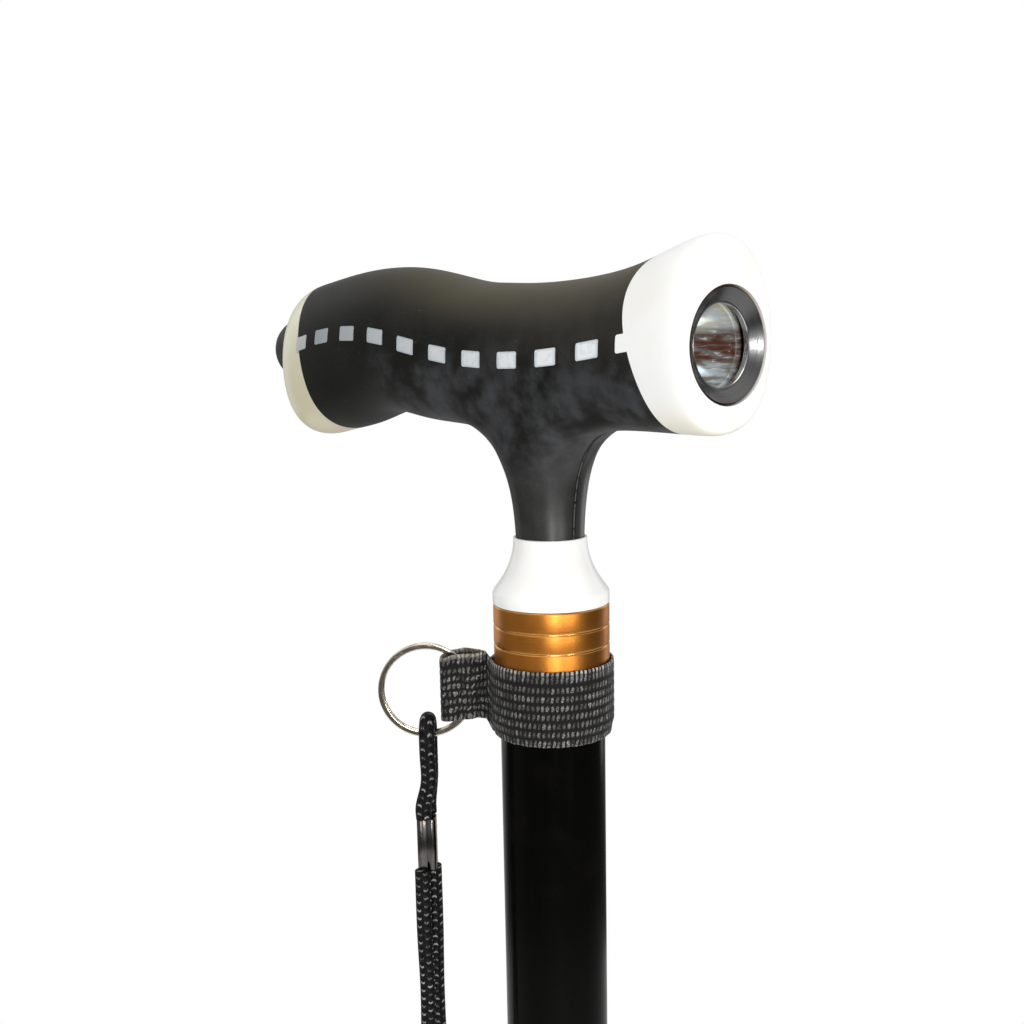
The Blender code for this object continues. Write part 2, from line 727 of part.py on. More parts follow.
def lens_front():
    """The lens's front face, just behind the bezel ring's lip."""
    return FACE - BEZEL_INSET - BEZEL_CONE_DEPTH - LIP_THICKNESS - SEAT_GAP


def board_radius():
    """The lamp board's radius, which fits inside the bezel ring's skirt."""
    return BEZEL_RADIUS - BEZEL_WALL - SEAT_GAP


def board_seat():
    """The shoulder that the lamp board lies on."""
    return bezel_seat() - BOARD_DEPTH


def cell_front():
    """The front end of the front cell."""
    return board_seat() - CONTACT_LENGTH - SEAT_GAP


def switch_seat():
    """The shoulder that the switch lies against, behind both cells and a contact spring."""
    return cell_front() - 2 * CELL_LENGTH - 2 * SEAT_GAP - CONTACT_LENGTH


def rear_face():
    """The handle's rear face, behind the switch."""
    return switch_seat() - REAR_ROOM


def build_torch(body, bezel):
    """The lamp's pieces, from the bezel ring in the head to the cells."""
    ring_front = FACE - BEZEL_INSET
    lip_back = lens_front() + SEAT_GAP
    skirt = BEZEL_RADIUS - BEZEL_WALL
    ring = turned((
        (BEZEL_RADIUS, bezel_back()), (BEZEL_RADIUS, ring_front - BREAK / 2),
        (BEZEL_RADIUS - BREAK / 2, ring_front),
        (LENS_SIGHT_RADIUS, ring_front - BEZEL_CONE_DEPTH), (LENS_SIGHT_RADIUS, lip_back),
        (skirt, lip_back), (skirt, bezel_back())))
    solid("bezel_ring", ring, "grey_metal", torch_place(0.0), bezel, TO_X)

    seal_middle = (BEZEL_RADIUS + skirt) / 2
    seal_at = bezel_back() - SEAT_GAP - SEAL_RADIUS
    seal = turned([(seal_middle + x, seal_at + y) for x, y in circle(SEAL_RADIUS, 6)], INNER_ROUND)
    solid("bezel_seal", seal, "rubber_black", torch_place(0.0), body, TO_X)

    lens_radius = skirt - SEAT_GAP
    front = lens_front()
    back = front - LENS_THICKNESS
    lens = turned(((0.0, back), (lens_radius, back), (lens_radius, front), (0.0, front)))
    solid("lens", lens, "clear", torch_place(0.0), body, TO_X)

    solid("reflector", reflector_shape(back - SEAT_GAP), "chrome", torch_place(0.0), body, TO_X)

    low = board_seat() + SEAT_GAP
    plate = cylinder(board_radius(), low, low + BOARD_THICKNESS, INNER_ROUND)
    solid("lamp_board", plate, "board", torch_place(0.0), body, TO_X)

    led_low = low + BOARD_THICKNESS + SEAT_GAP
    base = led_low + LED_BASE
    angles = [math.pi / 2 * k / 4 for k in range(4)]
    dome = [(LED_DOME_RADIUS * math.cos(angle), base + LED_DOME * math.sin(angle)) for angle in angles]
    foot = [(0.0, led_low), (LED_RADIUS, led_low), (LED_RADIUS, base)]
    led = turned(foot + dome + [(0.0, base + LED_DOME)], SMALL_ROUND)
    solid("lamp_led", led, "led_dome", torch_place(0.0), body, TO_X)

    front_spring = coil(FRONT_CONTACT_RADIUS, CONTACT_WIRE, CONTACT_LENGTH, 3)
    rear_spring = coil(REAR_CONTACT_RADIUS, CONTACT_WIRE, CONTACT_LENGTH, 3)
    front_at = torch_place(cell_front() + SEAT_GAP)
    rear_at = torch_place(switch_seat())
    tube_along("front_contact", front_spring, CONTACT_WIRE, "steel", 0, front_at, body, TO_X)
    tube_along("rear_contact", rear_spring, CONTACT_WIRE, "steel", 0, rear_at, body, TO_X)

    for name, nose in (("cell_front", cell_front()), ("cell_rear", cell_front() - CELL_LENGTH - SEAT_GAP)):
        tail = nose - CELL_LENGTH
        shoulder = nose - CELL_NUB
        cell = turned(((0.0, tail), (CELL_RADIUS - BREAK, tail), (CELL_RADIUS, tail + BREAK),
                       (CELL_RADIUS, shoulder - BREAK), (CELL_RADIUS - BREAK, shoulder),
                       (CELL_NUB_RADIUS, shoulder), (CELL_NUB_RADIUS, nose), (0.0, nose)), INNER_ROUND)
        solid(name, cell, "cell", torch_place(0.0), body, TO_X)


def reflector_shape(front):
    """The lamp's cup: a stepped bright bowl with a hole for the lamp at its bottom."""
    back = board_seat() + SEAT_GAP + BOARD_THICKNESS + SEAT_GAP
    rim = BEZEL_RADIUS - BEZEL_WALL - SEAT_GAP
    mouth = rim - CUP_WALL
    drop = (front - back - CUP_WALL) / CUP_STEPS
    narrowing = (mouth - CUP_THROAT) / CUP_STEPS
    inside = []
    for k in range(CUP_STEPS):
        inside.append((mouth - narrowing * k, front - drop * k))
        inside.append((mouth - narrowing * (k + CUP_SLOPE), front - drop * (k + 1)))
    # Halfway up, the outside stays a wall's thickness from the middle of the cup's slope
    belly = (inside[2][0] + inside[3][0]) / 2 + CUP_WALL
    outside = [(CUP_THROAT, back), (CUP_THROAT + CUP_FOOT, back), (belly, (front + back) / 2),
               (rim, front - CUP_RIM), (rim, front)]
    return turned(outside + inside)


def build_switch(body, button_pivot):
    """The switch in the handle's rear end, its plunger and spring, and the rubber button."""
    inner = switch_seat() - SEAT_GAP
    outer = inner - SWITCH_LENGTH
    bore = PLUNGER_RADIUS + SEAT_GAP
    floor = inner - SWITCH_FLOOR
    housing = turned(((0.0, inner), (BUTTON_RADIUS, inner), (BUTTON_RADIUS, outer), (bore, outer),
                      (bore, floor), (0.0, floor)), INNER_ROUND)
    solid("switch_body", housing, "plastic_black", torch_place(0.0), body, TO_X)

    tip = rear_face() - BUTTON_OUT
    stem_end = tip + BUTTON_STEM
    plunger_tip = stem_end + SEAT_GAP
    plunger_tail = outer + PLUNGER_IN_SWITCH
    plunger = turned(((0.0, plunger_tip), (PLUNGER_RADIUS - BREAK, plunger_tip),
                      (PLUNGER_RADIUS, plunger_tip + BREAK), (PLUNGER_RADIUS, plunger_tail),
                      (0.0, plunger_tail)), SMALL_ROUND)
    solid("switch_plunger", plunger, "plastic_white", torch_place(0.0), button_pivot, TO_X)

    room = floor - plunger_tail - 2 * SEAT_GAP
    spring = coil(PLUNGER_RADIUS - SWITCH_COIL_INSET, SWITCH_WIRE, room, 4)
    spring_at = torch_place(plunger_tail + SEAT_GAP)
    tube_along("switch_spring", spring, SWITCH_WIRE, "steel", 0, spring_at, body, TO_X)

    rim = outer - BUTTON_TRAVEL - 2 * SEAT_GAP
    cup = BUTTON_RADIUS - BUTTON_WALL
    dome = [(BUTTON_RADIUS - inwards * MM, tip + depth * MM) for inwards, depth in BUTTON_DOME]
    hollow = [(BUTTON_RADIUS, rim), (cup, rim), (cup, tip + BUTTON_ROOF),
              (PLUNGER_RADIUS, tip + BUTTON_ROOF - BREAK), (PLUNGER_RADIUS, stem_end), (0.0, stem_end)]
    button = turned([(0.0, tip)] + dome + hollow)
    solid("tail_button", button, "rubber_black", torch_place(0.0), button_pivot, TO_X)


def level_place(level):
    """A place on the stick's axis, at a height over the collar's lower edge."""
    return (0.0, 0.0, COLLAR_HEIGHT + level)


def build_collar(body):
    """The bell-shaped collar with its spigot, the rod up into the handle, the pin and the gold ring."""
    bore = ROD_RADIUS + SEAT_GAP
    socket = (NECK_RADIUS - RUBBER) * cage_spread() + SEAT_GAP
    socket_floor = COLLAR_TOP - NECK_SOCKET_DEPTH
    spigot = UPPER_TUBE_RADIUS - TUBE_WALL - SEAT_GAP
    flare = []
    for k in range(COLLAR_STEPS + 1):
        share = k / COLLAR_STEPS
        rise = COLLAR_STRAIGHT + (COLLAR_TOP - COLLAR_STRAIGHT) * share
        reach = (COLLAR_RADIUS - COLLAR_TOP_RADIUS) * (1 - share) ** COLLAR_HOLLOW
        flare.append((COLLAR_TOP_RADIUS + reach, rise))
    chamfer_in, chamfer_up = SPIGOT_CHAMFER
    plug = [(bore, -SPIGOT_DEPTH), (spigot - chamfer_in, -SPIGOT_DEPTH), (spigot, -SPIGOT_DEPTH + chamfer_up),
            (spigot, 0.0), (COLLAR_RADIUS - BREAK, 0.0), (COLLAR_RADIUS, BREAK)]
    bell = turned(plug + flare + [(socket, COLLAR_TOP), (socket, socket_floor), (bore, socket_floor)])
    collar = solid("neck_collar", bell, "plastic_white", level_place(0.0), body)

    rod = solid("neck_rod", cylinder(ROD_RADIUS, -SPIGOT_DEPTH, ROD_TOP), "steel", level_place(0.0), body)

    ring_bore = UPPER_TUBE_RADIUS + SEAT_GAP
    profile = [(ring_bore, -GOLD_LENGTH), (GOLD_RADIUS, -GOLD_LENGTH)]
    for groove in reversed(GOLD_GROOVES):
        half = GROOVE_WIDTH / 2
        profile += [(GOLD_RADIUS, -groove - half), (GOLD_RADIUS - GROOVE_DEPTH, -groove),
                    (GOLD_RADIUS, -groove + half)]
    profile += [(GOLD_RADIUS, -SEAT_GAP - BREAK / 2), (GOLD_RADIUS - BREAK / 2, -SEAT_GAP),
                (ring_bore, -SEAT_GAP)]
    solid("gold_ring", turned(profile), "gold_anodised", level_place(0.0), body)

    reach = UPPER_TUBE_RADIUS - SEAT_GAP
    pin = cylinder(PIN_RADIUS, -reach, reach)
    solid("spigot_pin", pin, "steel", level_place(-PIN_DEPTH), body, (math.pi / 2, 0.0, 0.0))
    hole = cylinder(PIN_RADIUS + SEAT_GAP, -2 * reach, 2 * reach)
    pin_hole = cutter("pin_hole", hole, level_place(-PIN_DEPTH), turn=(math.pi / 2, 0.0, 0.0))
    boolean(collar, pin_hole)
    boolean(rod, pin_hole)
    return pin_hole


def build_upper_tube(body, pin_hole):
    """The upper tube with its row of height holes."""
    bore = UPPER_TUBE_RADIUS - TUBE_WALL
    top = COLLAR_HEIGHT - SEAT_GAP
    wall = turned(((bore, UPPER_TUBE_FOOT), (UPPER_TUBE_RADIUS, UPPER_TUBE_FOOT), (UPPER_TUBE_RADIUS, top),
                   (bore, top)))
    tube = solid("upper_tube", wall, "tube_black", parent=body)
    boolean(tube, pin_hole)
    for k in range(-HOLES_EACH_WAY, HOLES_EACH_WAY + 1):
        height = SNAP_HEIGHT + k * HOLE_PITCH
        shape = cylinder(SNAP_RADIUS + SEAT_GAP, 0.0, 2 * UPPER_TUBE_RADIUS)
        boolean(tube, cutter(f"height_hole_{k + HOLES_EACH_WAY}", shape, (0.0, 0.0, height), turn=TO_X))


def build_lock(body, lock_pivot):
    """The split bushing under the upper tube's end and the fluted locking collar round it."""
    slide = LOWER_TUBE_RADIUS + SEAT_GAP
    top = UPPER_TUBE_FOOT - SEAT_GAP
    low = top - BUSHING_LENGTH
    waist = slide + BUSHING_WAIST
    shoulder = top - BUSHING_SHOULDER
    wedge = turned(((slide, low), (waist, low), (UPPER_TUBE_RADIUS, shoulder), (UPPER_TUBE_RADIUS, top),
                    (slide, top)))
    sleeve = solid("split_bushing", wedge, "plastic_black", parent=body)
    for k in range(BUSHING_SLOTS):
        outline = [(0.0, -BUSHING_SLOT / 2), (2 * slide, -BUSHING_SLOT / 2), (2 * slide, BUSHING_SLOT / 2),
                   (0.0, BUSHING_SLOT / 2)]
        slot = extruded(outline, BUSHING_LENGTH - BUSHING_BRIDGE + CUT_OVER)
        turn = (0.0, 0.0, 2 * math.pi * (k + 0.5) / BUSHING_SLOTS)
        boolean(sleeve, cutter(f"bushing_slot_{k}", slot, (0.0, 0.0, low - CUT_OVER), turn=turn))

    over = UPPER_TUBE_RADIUS + SEAT_GAP
    lip_top = low - SEAT_GAP
    foot = lip_top - LOCK_LIP
    head = UPPER_TUBE_FOOT + LOCK_ABOVE
    shell = turned((
        (slide, foot), (LOCK_RADIUS - 2 * LOCK_ROUND, foot), (LOCK_RADIUS, foot + LOCK_ROUND),
        (LOCK_RADIUS, head - LOCK_ROUND), (LOCK_RADIUS - LOCK_MOUTH, head), (over, head),
        (over, shoulder), (waist + SEAT_GAP, low), (waist + SEAT_GAP, lip_top), (slide, lip_top)))
    nut = solid("lock_collar", shell, "plastic_black", parent=lock_pivot)
    flutes = bmesh.new()
    for x, y in circle(LOCK_RADIUS + FLUTE_RADIUS - FLUTE_DEPTH, LOCK_FLUTES):
        at = Matrix.Translation((x, y, (foot + head) / 2))
        bmesh.ops.create_cone(flutes, cap_ends=True, segments=8, radius1=FLUTE_RADIUS, radius2=FLUTE_RADIUS,
                              depth=head - foot - 2 * FLUTE_END, matrix=at)
    boolean(nut, cutter("lock_flutes", flutes))


def build_lower_section(lower, snap):
    """The lower tube, its top plug, snap button and spring, and the rubber foot."""
    bore = LOWER_TUBE_RADIUS - TUBE_WALL
    washer_top = FOOT_SOLE + SEAT_GAP + WASHER_THICKNESS
    foot_end = washer_top + SEAT_GAP
    wall = turned(((bore, foot_end), (LOWER_TUBE_RADIUS, foot_end), (LOWER_TUBE_RADIUS, LOWER_TUBE_TOP),
                   (bore, LOWER_TUBE_TOP)))
    tube = solid("lower_tube", wall, "tube_black", parent=lower)
    hole = cylinder(SNAP_RADIUS + SEAT_GAP, 0.0, 2 * LOWER_TUBE_RADIUS)
    boolean(tube, cutter("snap_hole", hole, (0.0, 0.0, SNAP_HEIGHT), turn=TO_X))

    flange = LOWER_TUBE_TOP + SEAT_GAP
    flange_top = flange + PLUG_FLANGE
    plug_radius = bore - SEAT_GAP
    plug_end = flange - PLUG_DEPTH
    plug = turned((
        (PLUG_BORE, plug_end), (plug_radius - 2 * BREAK, plug_end), (plug_radius, plug_end + 2 * BREAK),
        (plug_radius, flange), (LOWER_TUBE_RADIUS, flange),
        (LOWER_TUBE_RADIUS, flange_top - 2 * BREAK),
        (LOWER_TUBE_RADIUS - 2 * BREAK, flange_top), (PLUG_BORE, flange_top)), INNER_ROUND)
    solid("top_plug", plug, "plastic_black", parent=lower)

    build_snap(lower, snap, bore)
    build_foot(lower)


def build_snap(lower, snap, bore):
    """The V-shaped strip spring in the lower tube and the button riveted to its leg."""
    leg_out = bore - SPRING_IN_TUBE
    leg_in = leg_out - SPRING_STRIP
    back_out = -bore + 4 * SEAT_GAP
    top = SNAP_HEIGHT + SPRING_TOP_OVER_BUTTON
    bend_level = top - SPRING_LEG + SPRING_BEND
    leg_start = bend_level + 2 * SPRING_BEND
    outer = [(leg_out, top), (leg_out, leg_start)]
    inner = [(leg_in, top), (leg_in, leg_start)]
    for angle in (math.pi * k / 8 for k in range(1, 8)):
        for side, radius in ((outer, SPRING_BEND), (inner, SPRING_BEND - SPRING_STRIP)):
            side.append((radius * math.cos(angle), bend_level - radius * math.sin(angle)))
    outer += [(back_out, leg_start), (back_out, top)]
    inner += [(back_out + SPRING_STRIP, leg_start), (back_out + SPRING_STRIP, top)]
    strip = extruded(outer + inner[::-1], SPRING_WIDTH)
    # The strip's outline stands up in the XZ plane
    stand = Matrix.Translation((0.0, SPRING_WIDTH / 2, 0.0)) @ Matrix.Rotation(math.pi / 2, 4, "X")
    bmesh.ops.transform(strip, matrix=stand, verts=strip.verts)
    spring = solid("snap_spring", strip, "steel", parent=lower)
    hole = cylinder(SNAP_SHANK_RADIUS + SEAT_GAP, 0.0, bore)
    boolean(spring, cutter("rivet_hole", hole, (0.0, 0.0, SNAP_HEIGHT), turn=TO_X))

    base = leg_out + SEAT_GAP
    head = leg_in - SEAT_GAP
    head_end = head - SNAP_RIVET_HEAD
    crown = UPPER_TUBE_RADIUS + SNAP_CROWN
    dome = [(SNAP_RADIUS * share, crown - drop * MM) for share, drop in SNAP_DOME]
    rivet = [(0.0, head_end), (SNAP_RIVET_RADIUS, head_end), (SNAP_RIVET_RADIUS, head),
             (SNAP_SHANK_RADIUS, head), (SNAP_SHANK_RADIUS, base), (SNAP_RADIUS, base)]
    button = turned(rivet + dome + [(0.0, crown)], SMALL_ROUND)
    solid("snap_button", button, "steel", (0.0, 0.0, SNAP_HEIGHT), snap, TO_X)


def build_foot(lower):
    """The flared rubber foot with its ringed sole, and the steel washer in it."""
    socket = LOWER_TUBE_RADIUS + SEAT_GAP
    sleeve = socket + FOOT_WALL
    profile = [(0.0, 0.0)]
    for radius in SOLE_GROOVES:
        profile += [(radius, 0.0), (radius + SOLE_GROOVE / 2, SOLE_GROOVE), (radius + SOLE_GROOVE, 0.0)]
    profile += [(FOOT_RADIUS - FOOT_CHAMFER, 0.0), (FOOT_RADIUS, FOOT_CHAMFER), (FOOT_RADIUS, FOOT_RIM)]
    for share in (0.0, 1 / 3, 2 / 3, 1.0):
        reach = (FOOT_RADIUS - FOOT_STEP - sleeve) * (1 - share) ** 2
        profile.append((sleeve + reach, FOOT_RIM + FOOT_STEP_RISE + FOOT_FLARE * share))
    for ring in FOOT_RINGS:
        profile += [(sleeve, ring), (sleeve + FOOT_RING, ring + FOOT_RING_HEIGHT / 2),
                    (sleeve, ring + FOOT_RING_HEIGHT)]
    lip = FOOT_HEIGHT - 2 * FOOT_RING
    profile += [(sleeve, lip - FOOT_RING), (sleeve + FOOT_RING, lip), (sleeve + FOOT_RING, FOOT_HEIGHT),
                (socket, FOOT_HEIGHT), (socket, FOOT_SOLE), (0.0, FOOT_SOLE)]
    solid("rubber_foot", turned(profile), "rubber_black", parent=lower)

    low = FOOT_SOLE + SEAT_GAP
    high = low + WASHER_THICKNESS
    washer = turned(((WASHER_HOLE, low), (LOWER_TUBE_RADIUS, low), (LOWER_TUBE_RADIUS, high),
                     (WASHER_HOLE, high)), INNER_ROUND)
    solid("foot_washer", washer, "steel", parent=lower)


def band_outside():
    """The webbing band's outer radius round the gold ring."""
    return GOLD_RADIUS + SEAT_GAP + WEBBING_THICKNESS


def tab_fold():
    """The distance of the tab's fold from the stick's axis."""
    return band_outside() + TAB_LENGTH


def ring_centre():
    """The distance of the split ring's centre from the stick's axis."""
    return tab_fold() - WIRE_IN_TAB + RING_RADIUS


def ring_level():
    """The height of the split ring's centre, from the collar's lower edge."""
    return WEBBING_TOP - WEBBING_WIDTH / 2 + RING_LIFT


def ring_bottom():
    """The height of the split ring's wire at its lowest point."""
    return ring_level() - RING_RADIUS


def build_webbing(band):
    """The elastic band round the gold ring, with its doubled tab and the pocket for the split ring."""
    inner = band_outside() - WEBBING_THICKNESS
    outer = band_outside()
    root = math.asin(TAB_ROOT_HALF / outer)
    outline = []
    for k in range(BAND_STEPS + 1):
        angle = root + (2 * math.pi - 2 * root) * k / BAND_STEPS
        outline.append((outer * math.cos(angle), outer * math.sin(angle)))

    half = POCKET_HALF + WEBBING_THICKNESS
    side = swelling_side(outer + TAB_ROOT_HALF, TAB_ROOT_HALF, half)
    side += rounded_end(tab_fold(), half, POCKET_CORNER + WEBBING_THICKNESS)
    outline += [(x, -y) for x, y in side] + side[::-1]
    hollow = swelling_side(outer + POCKET_FROM_BAND, 0.0, POCKET_HALF)
    hollow += rounded_end(tab_fold() - WEBBING_THICKNESS, POCKET_HALF, POCKET_CORNER)
    pocket = [(x, -y) for x, y in hollow] + hollow[:0:-1]
    shape = extruded(outline, WEBBING_WIDTH, (circle(inner, BAND_STEPS), pocket))
    for corner in shape.verts:
        lifts = TAB_TOP_LIFT if corner.co.z > WEBBING_WIDTH / 2 else TAB_FOOT_LIFT
        corner.co.z += climb(lifts, corner.co.x - outer)
    low = level_place(WEBBING_TOP - WEBBING_WIDTH)
    solid("webbing_band", shape, "webbing", low, band, (0.0, 0.0, TAB_DIRECTION))


def climb(lifts, distance):
    """The lift of the tab's edge at a distance from the band."""
    for (near, low), (far, high) in zip(lifts, lifts[1:]):
        if distance <= far * MM:
            share = max(distance - near * MM, 0.0) / ((far - near) * MM)
            return (low + (high - low) * share) * MM
    return lifts[-1][1] * MM


def swelling_side(start, low, high):
    """One side of the tab or of its pocket, from its narrow start to its full half-width."""
    points = []
    for k in range(4):
        share = k / 3
        points.append((start + TAB_SWELL * share, low + (high - low) * math.sin(math.pi / 2 * share)))
    return points


def rounded_end(end, half, radius):
    """One quarter of a rounded end, from its straight side to the axis."""
    points = []
    for k in range(5):
        angle = math.pi / 2 * k / 4
        points.append((end - radius + radius * math.sin(angle), half - radius + radius * math.cos(angle)))
    return points


def build_split_ring(ring):
    """The two-turn split ring, a flat wire that crosses over from one turn to the other."""
    shape = bmesh.new()
    wide, thick = RING_WIRE_WIDTH / 2, RING_WIRE_THICKNESS / 2
    loops = []
    count = 2 * RING_STEPS - 1
    for k in range(count):
        angle = 2 * math.pi * k / RING_STEPS + math.radians(RING_START)
        share = min(max((k - (count - RING_CROSSING) / 2) / RING_CROSSING, 0.0), 1.0)
        across = RING_TURN_PITCH * (share - 0.5)
        corners = []
        for out, side in ((-wide, -thick), (wide, -thick), (wide, thick), (-wide, thick)):
            radius = RING_RADIUS + out
            level = ring_level() + radius * math.sin(angle)
            spot = tab_side(ring_centre() + radius * math.cos(angle), across + side, COLLAR_HEIGHT + level)
            corners.append(shape.verts.new(spot))
        loops.append(corners)
    for first, second in zip(loops, loops[1:]):
        stitch(shape, first, second)
    shape.faces.new(loops[0])
    shape.faces.new(loops[-1])
    bmesh.ops.translate(shape, verts=shape.verts, vec=-world_place(ring))
    solid("split_ring", shape, "nickel", world_place(ring), ring)


def ferrule_place(low):
    """A point on the ferrule's axis, at a height over its lower end."""
    level = ring_bottom() - FERRULE_UNDER_RING - FERRULE_LENGTH + low
    return tab_side(ring_centre() + FERRULE_PAST_RING, 0.0, COLLAR_HEIGHT + level)


def build_strap(strap):
    """The cord through the ring, its crimped ferrule and the wrist loop below."""
    origin = world_place(strap)
    half_ring = math.hypot((RING_TURN_PITCH + RING_WIRE_THICKNESS) / 2, RING_WIRE_WIDTH / 2)
    wrap = half_ring + SEAT_GAP + CORD_DIAMETER / 2
    centre = ring_centre()
    ferrule = centre + FERRULE_PAST_RING
    sides = []
    for side in (1, -1):
        out, across = ferrule - side * RING_STRAND_OUT, side * RING_STRAND_ACROSS
        strand = [(out, across, SEAT_GAP - FERRULE_UNDER_RING),
                  (out, across, RING_CORD_ENTRY - FERRULE_UNDER_RING)]
        strand += [(centre, side * wrap * share, -drop * MM) for drop, share in RING_CORD_SIDES]
        sides.append(strand + [(centre, side * wrap, 0.0)])
    over = [(centre, across, rise) for across, rise in circle(wrap, 12)[1:6]]
    route = []
    for out, across, rise in sides[0] + over + sides[1][::-1]:
        route.append(tab_side(out, across, COLLAR_HEIGHT + ring_bottom() + rise) - origin)
    line = smooth_route(route, RING_CORD_POINTS)
    tube_along("ring_cord", line, CORD_DIAMETER / 2, "cord", 2, origin, strap)

    solid("cord_ferrule", ferrule_shape(), "nickel", ferrule_place(0.0), strap, (0.0, 0.0, TAB_DIRECTION))

    end = ferrule_place(0.0) - origin
    route = [tab_side(*(Vector(spot) * MM)) + end for spot in WRIST_ROUTE]
    line = smooth_route(route, WRIST_CORD_POINTS)
    tube_along("wrist_cord", line, CORD_DIAMETER / 2, "cord", 2, origin, strap)


def ferrule_shape():
    """A crimped metal band: two round lobes side by side, with a groove down the middle of each face."""
    lobe = FERRULE_WIDTH / 4
    flat = FERRULE_DEPTH / 2 - lobe
    outline = []
    for side in (1, -1):
        for k in range(7):
            angle = side * math.pi / 2 - math.pi * k / 6
            rise = math.copysign(flat, math.sin(angle)) + lobe * math.sin(angle)
            outline.append((side * lobe + lobe * math.cos(angle), rise))
        outline.append((0.0, -side * (FERRULE_DEPTH / 2 - FERRULE_GROOVE)))
    return extruded(outline, FERRULE_LENGTH)


def main():
    """Builds the stick."""
    reset_scene()
    body = pivot("stick_frame")
    bezel = pivot("pivot_bezel", torch_place(FACE), body)
    button = pivot("pivot_tail_button", torch_place(rear_face()), body)
    lock = pivot("pivot_lock", (0.0, 0.0, UPPER_TUBE_FOOT), body)
    lower = pivot("slide_lower", (0.0, 0.0, 0.0), body)
    snap = pivot("slide_snap", (0.0, 0.0, SNAP_HEIGHT), lower)
    band = pivot("pivot_band", level_place(WEBBING_TOP), body)
    inside_fold = tab_fold() - WEBBING_THICKNESS - RING_WIRE_WIDTH
    ring = pivot("pivot_ring", tab_side(inside_fold, 0.0, COLLAR_HEIGHT + ring_level()), band)
    strap = pivot("pivot_strap", tab_side(ring_centre(), 0.0, COLLAR_HEIGHT + ring_bottom()), ring)

    build_handle(body)
    build_torch(body, bezel)
    build_switch(body, button)
    pin_hole = build_collar(body)
    build_upper_tube(body, pin_hole)
    build_lock(body, lock)
    build_lower_section(lower, snap)
    build_webbing(band)
    build_split_ring(ring)
    build_strap(strap)


main()
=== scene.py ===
"""Looks of the adjustable walking stick with a torch in its T-shaped handle.

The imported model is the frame, and each class below builds one sub-assembly over it and dresses
it. Lengths are metres, written as millimetres times MM. Levels in the handle, the collar and the
strap are counted from the white collar's lower edge, which stands COLLAR_LEVEL over the floor.
"""

import logging
import math
from dataclasses import dataclass, field
from enum import Enum
from typing import Any, Sequence

import bmesh
import bpy
import numpy as np
from mathutils import Matrix, Vector


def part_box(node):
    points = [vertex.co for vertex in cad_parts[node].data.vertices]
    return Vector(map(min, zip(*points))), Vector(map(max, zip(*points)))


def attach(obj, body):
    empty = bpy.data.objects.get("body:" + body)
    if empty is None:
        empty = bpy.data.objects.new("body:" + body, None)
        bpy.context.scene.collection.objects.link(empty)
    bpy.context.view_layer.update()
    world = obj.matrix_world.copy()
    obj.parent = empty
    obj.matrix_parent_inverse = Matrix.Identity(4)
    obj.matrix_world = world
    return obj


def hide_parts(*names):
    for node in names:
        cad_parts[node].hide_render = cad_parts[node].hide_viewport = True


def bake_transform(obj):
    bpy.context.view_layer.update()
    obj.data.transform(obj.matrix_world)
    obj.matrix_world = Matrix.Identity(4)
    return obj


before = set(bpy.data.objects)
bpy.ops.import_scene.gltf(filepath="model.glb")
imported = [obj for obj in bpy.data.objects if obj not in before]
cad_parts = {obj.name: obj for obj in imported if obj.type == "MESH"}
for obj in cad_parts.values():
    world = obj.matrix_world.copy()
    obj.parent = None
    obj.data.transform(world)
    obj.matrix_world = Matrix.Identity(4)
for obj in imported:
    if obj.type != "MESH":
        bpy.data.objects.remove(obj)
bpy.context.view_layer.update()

MM = 0.001
COLLAR_LEVEL = 800 * MM
TORCH_LEVEL = COLLAR_LEVEL + 51.8 * MM
TAB_DIRECTION = math.radians(227.5)
GOLD_GROOVES = (4.45, 8.5)
PURE_WHITE = (1.0, 1.0, 1.0, 1.0)
LOG = logging.getLogger("walking_stick")

Colour = tuple[float, float, float, float]
Spot = tuple[float, float]


class Body(Enum):
    """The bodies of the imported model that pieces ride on."""

    HANDLE = "handle"
    BEZEL = "bezel"
    BUTTON = "torch_button"
    LOWER = "lower_section"
    SNAP = "snap"
    LOCK = "lock"
    BAND = "band"
    RING = "ring"
    STRAP = "strap"


class Slot(Enum):
    """The record's material slots."""

    WHITE = "white_plastic"
    RUBBER = "black_rubber"
    GREY_METAL = "grey_metal"
    LENS = "clear_lens"
    CUP = "bright_cup"
    LAMP = "lamp"
    BLACK = "black_plastic"
    GOLD = "gold_anodised"
    TUBE = "tube_black"
    STEEL = "steel"
    NICKEL = "nickel"
    WEBBING = "webbing"
    CORD = "cord"


class Axis(Enum):
    """The two lines that turned pieces are turned about."""

    STICK = "stick"
    TORCH = "torch"


def tone(red: int, green: int, blue: int) -> Colour:
    """A colour as linear light, from the values that a screen shows for it.

    Args:
        red: the red value, 0 to 255.
        green: the green value.
        blue: the blue value.

    Returns:
        The colour, with full alpha.
    """
    parts = []
    for value in (red / 255, green / 255, blue / 255):
        parts.append(value / 12.92 if value <= 0.04045 else ((value + 0.055) / 1.055) ** 2.4)
    return (parts[0], parts[1], parts[2], 1.0)


# Shader graphs


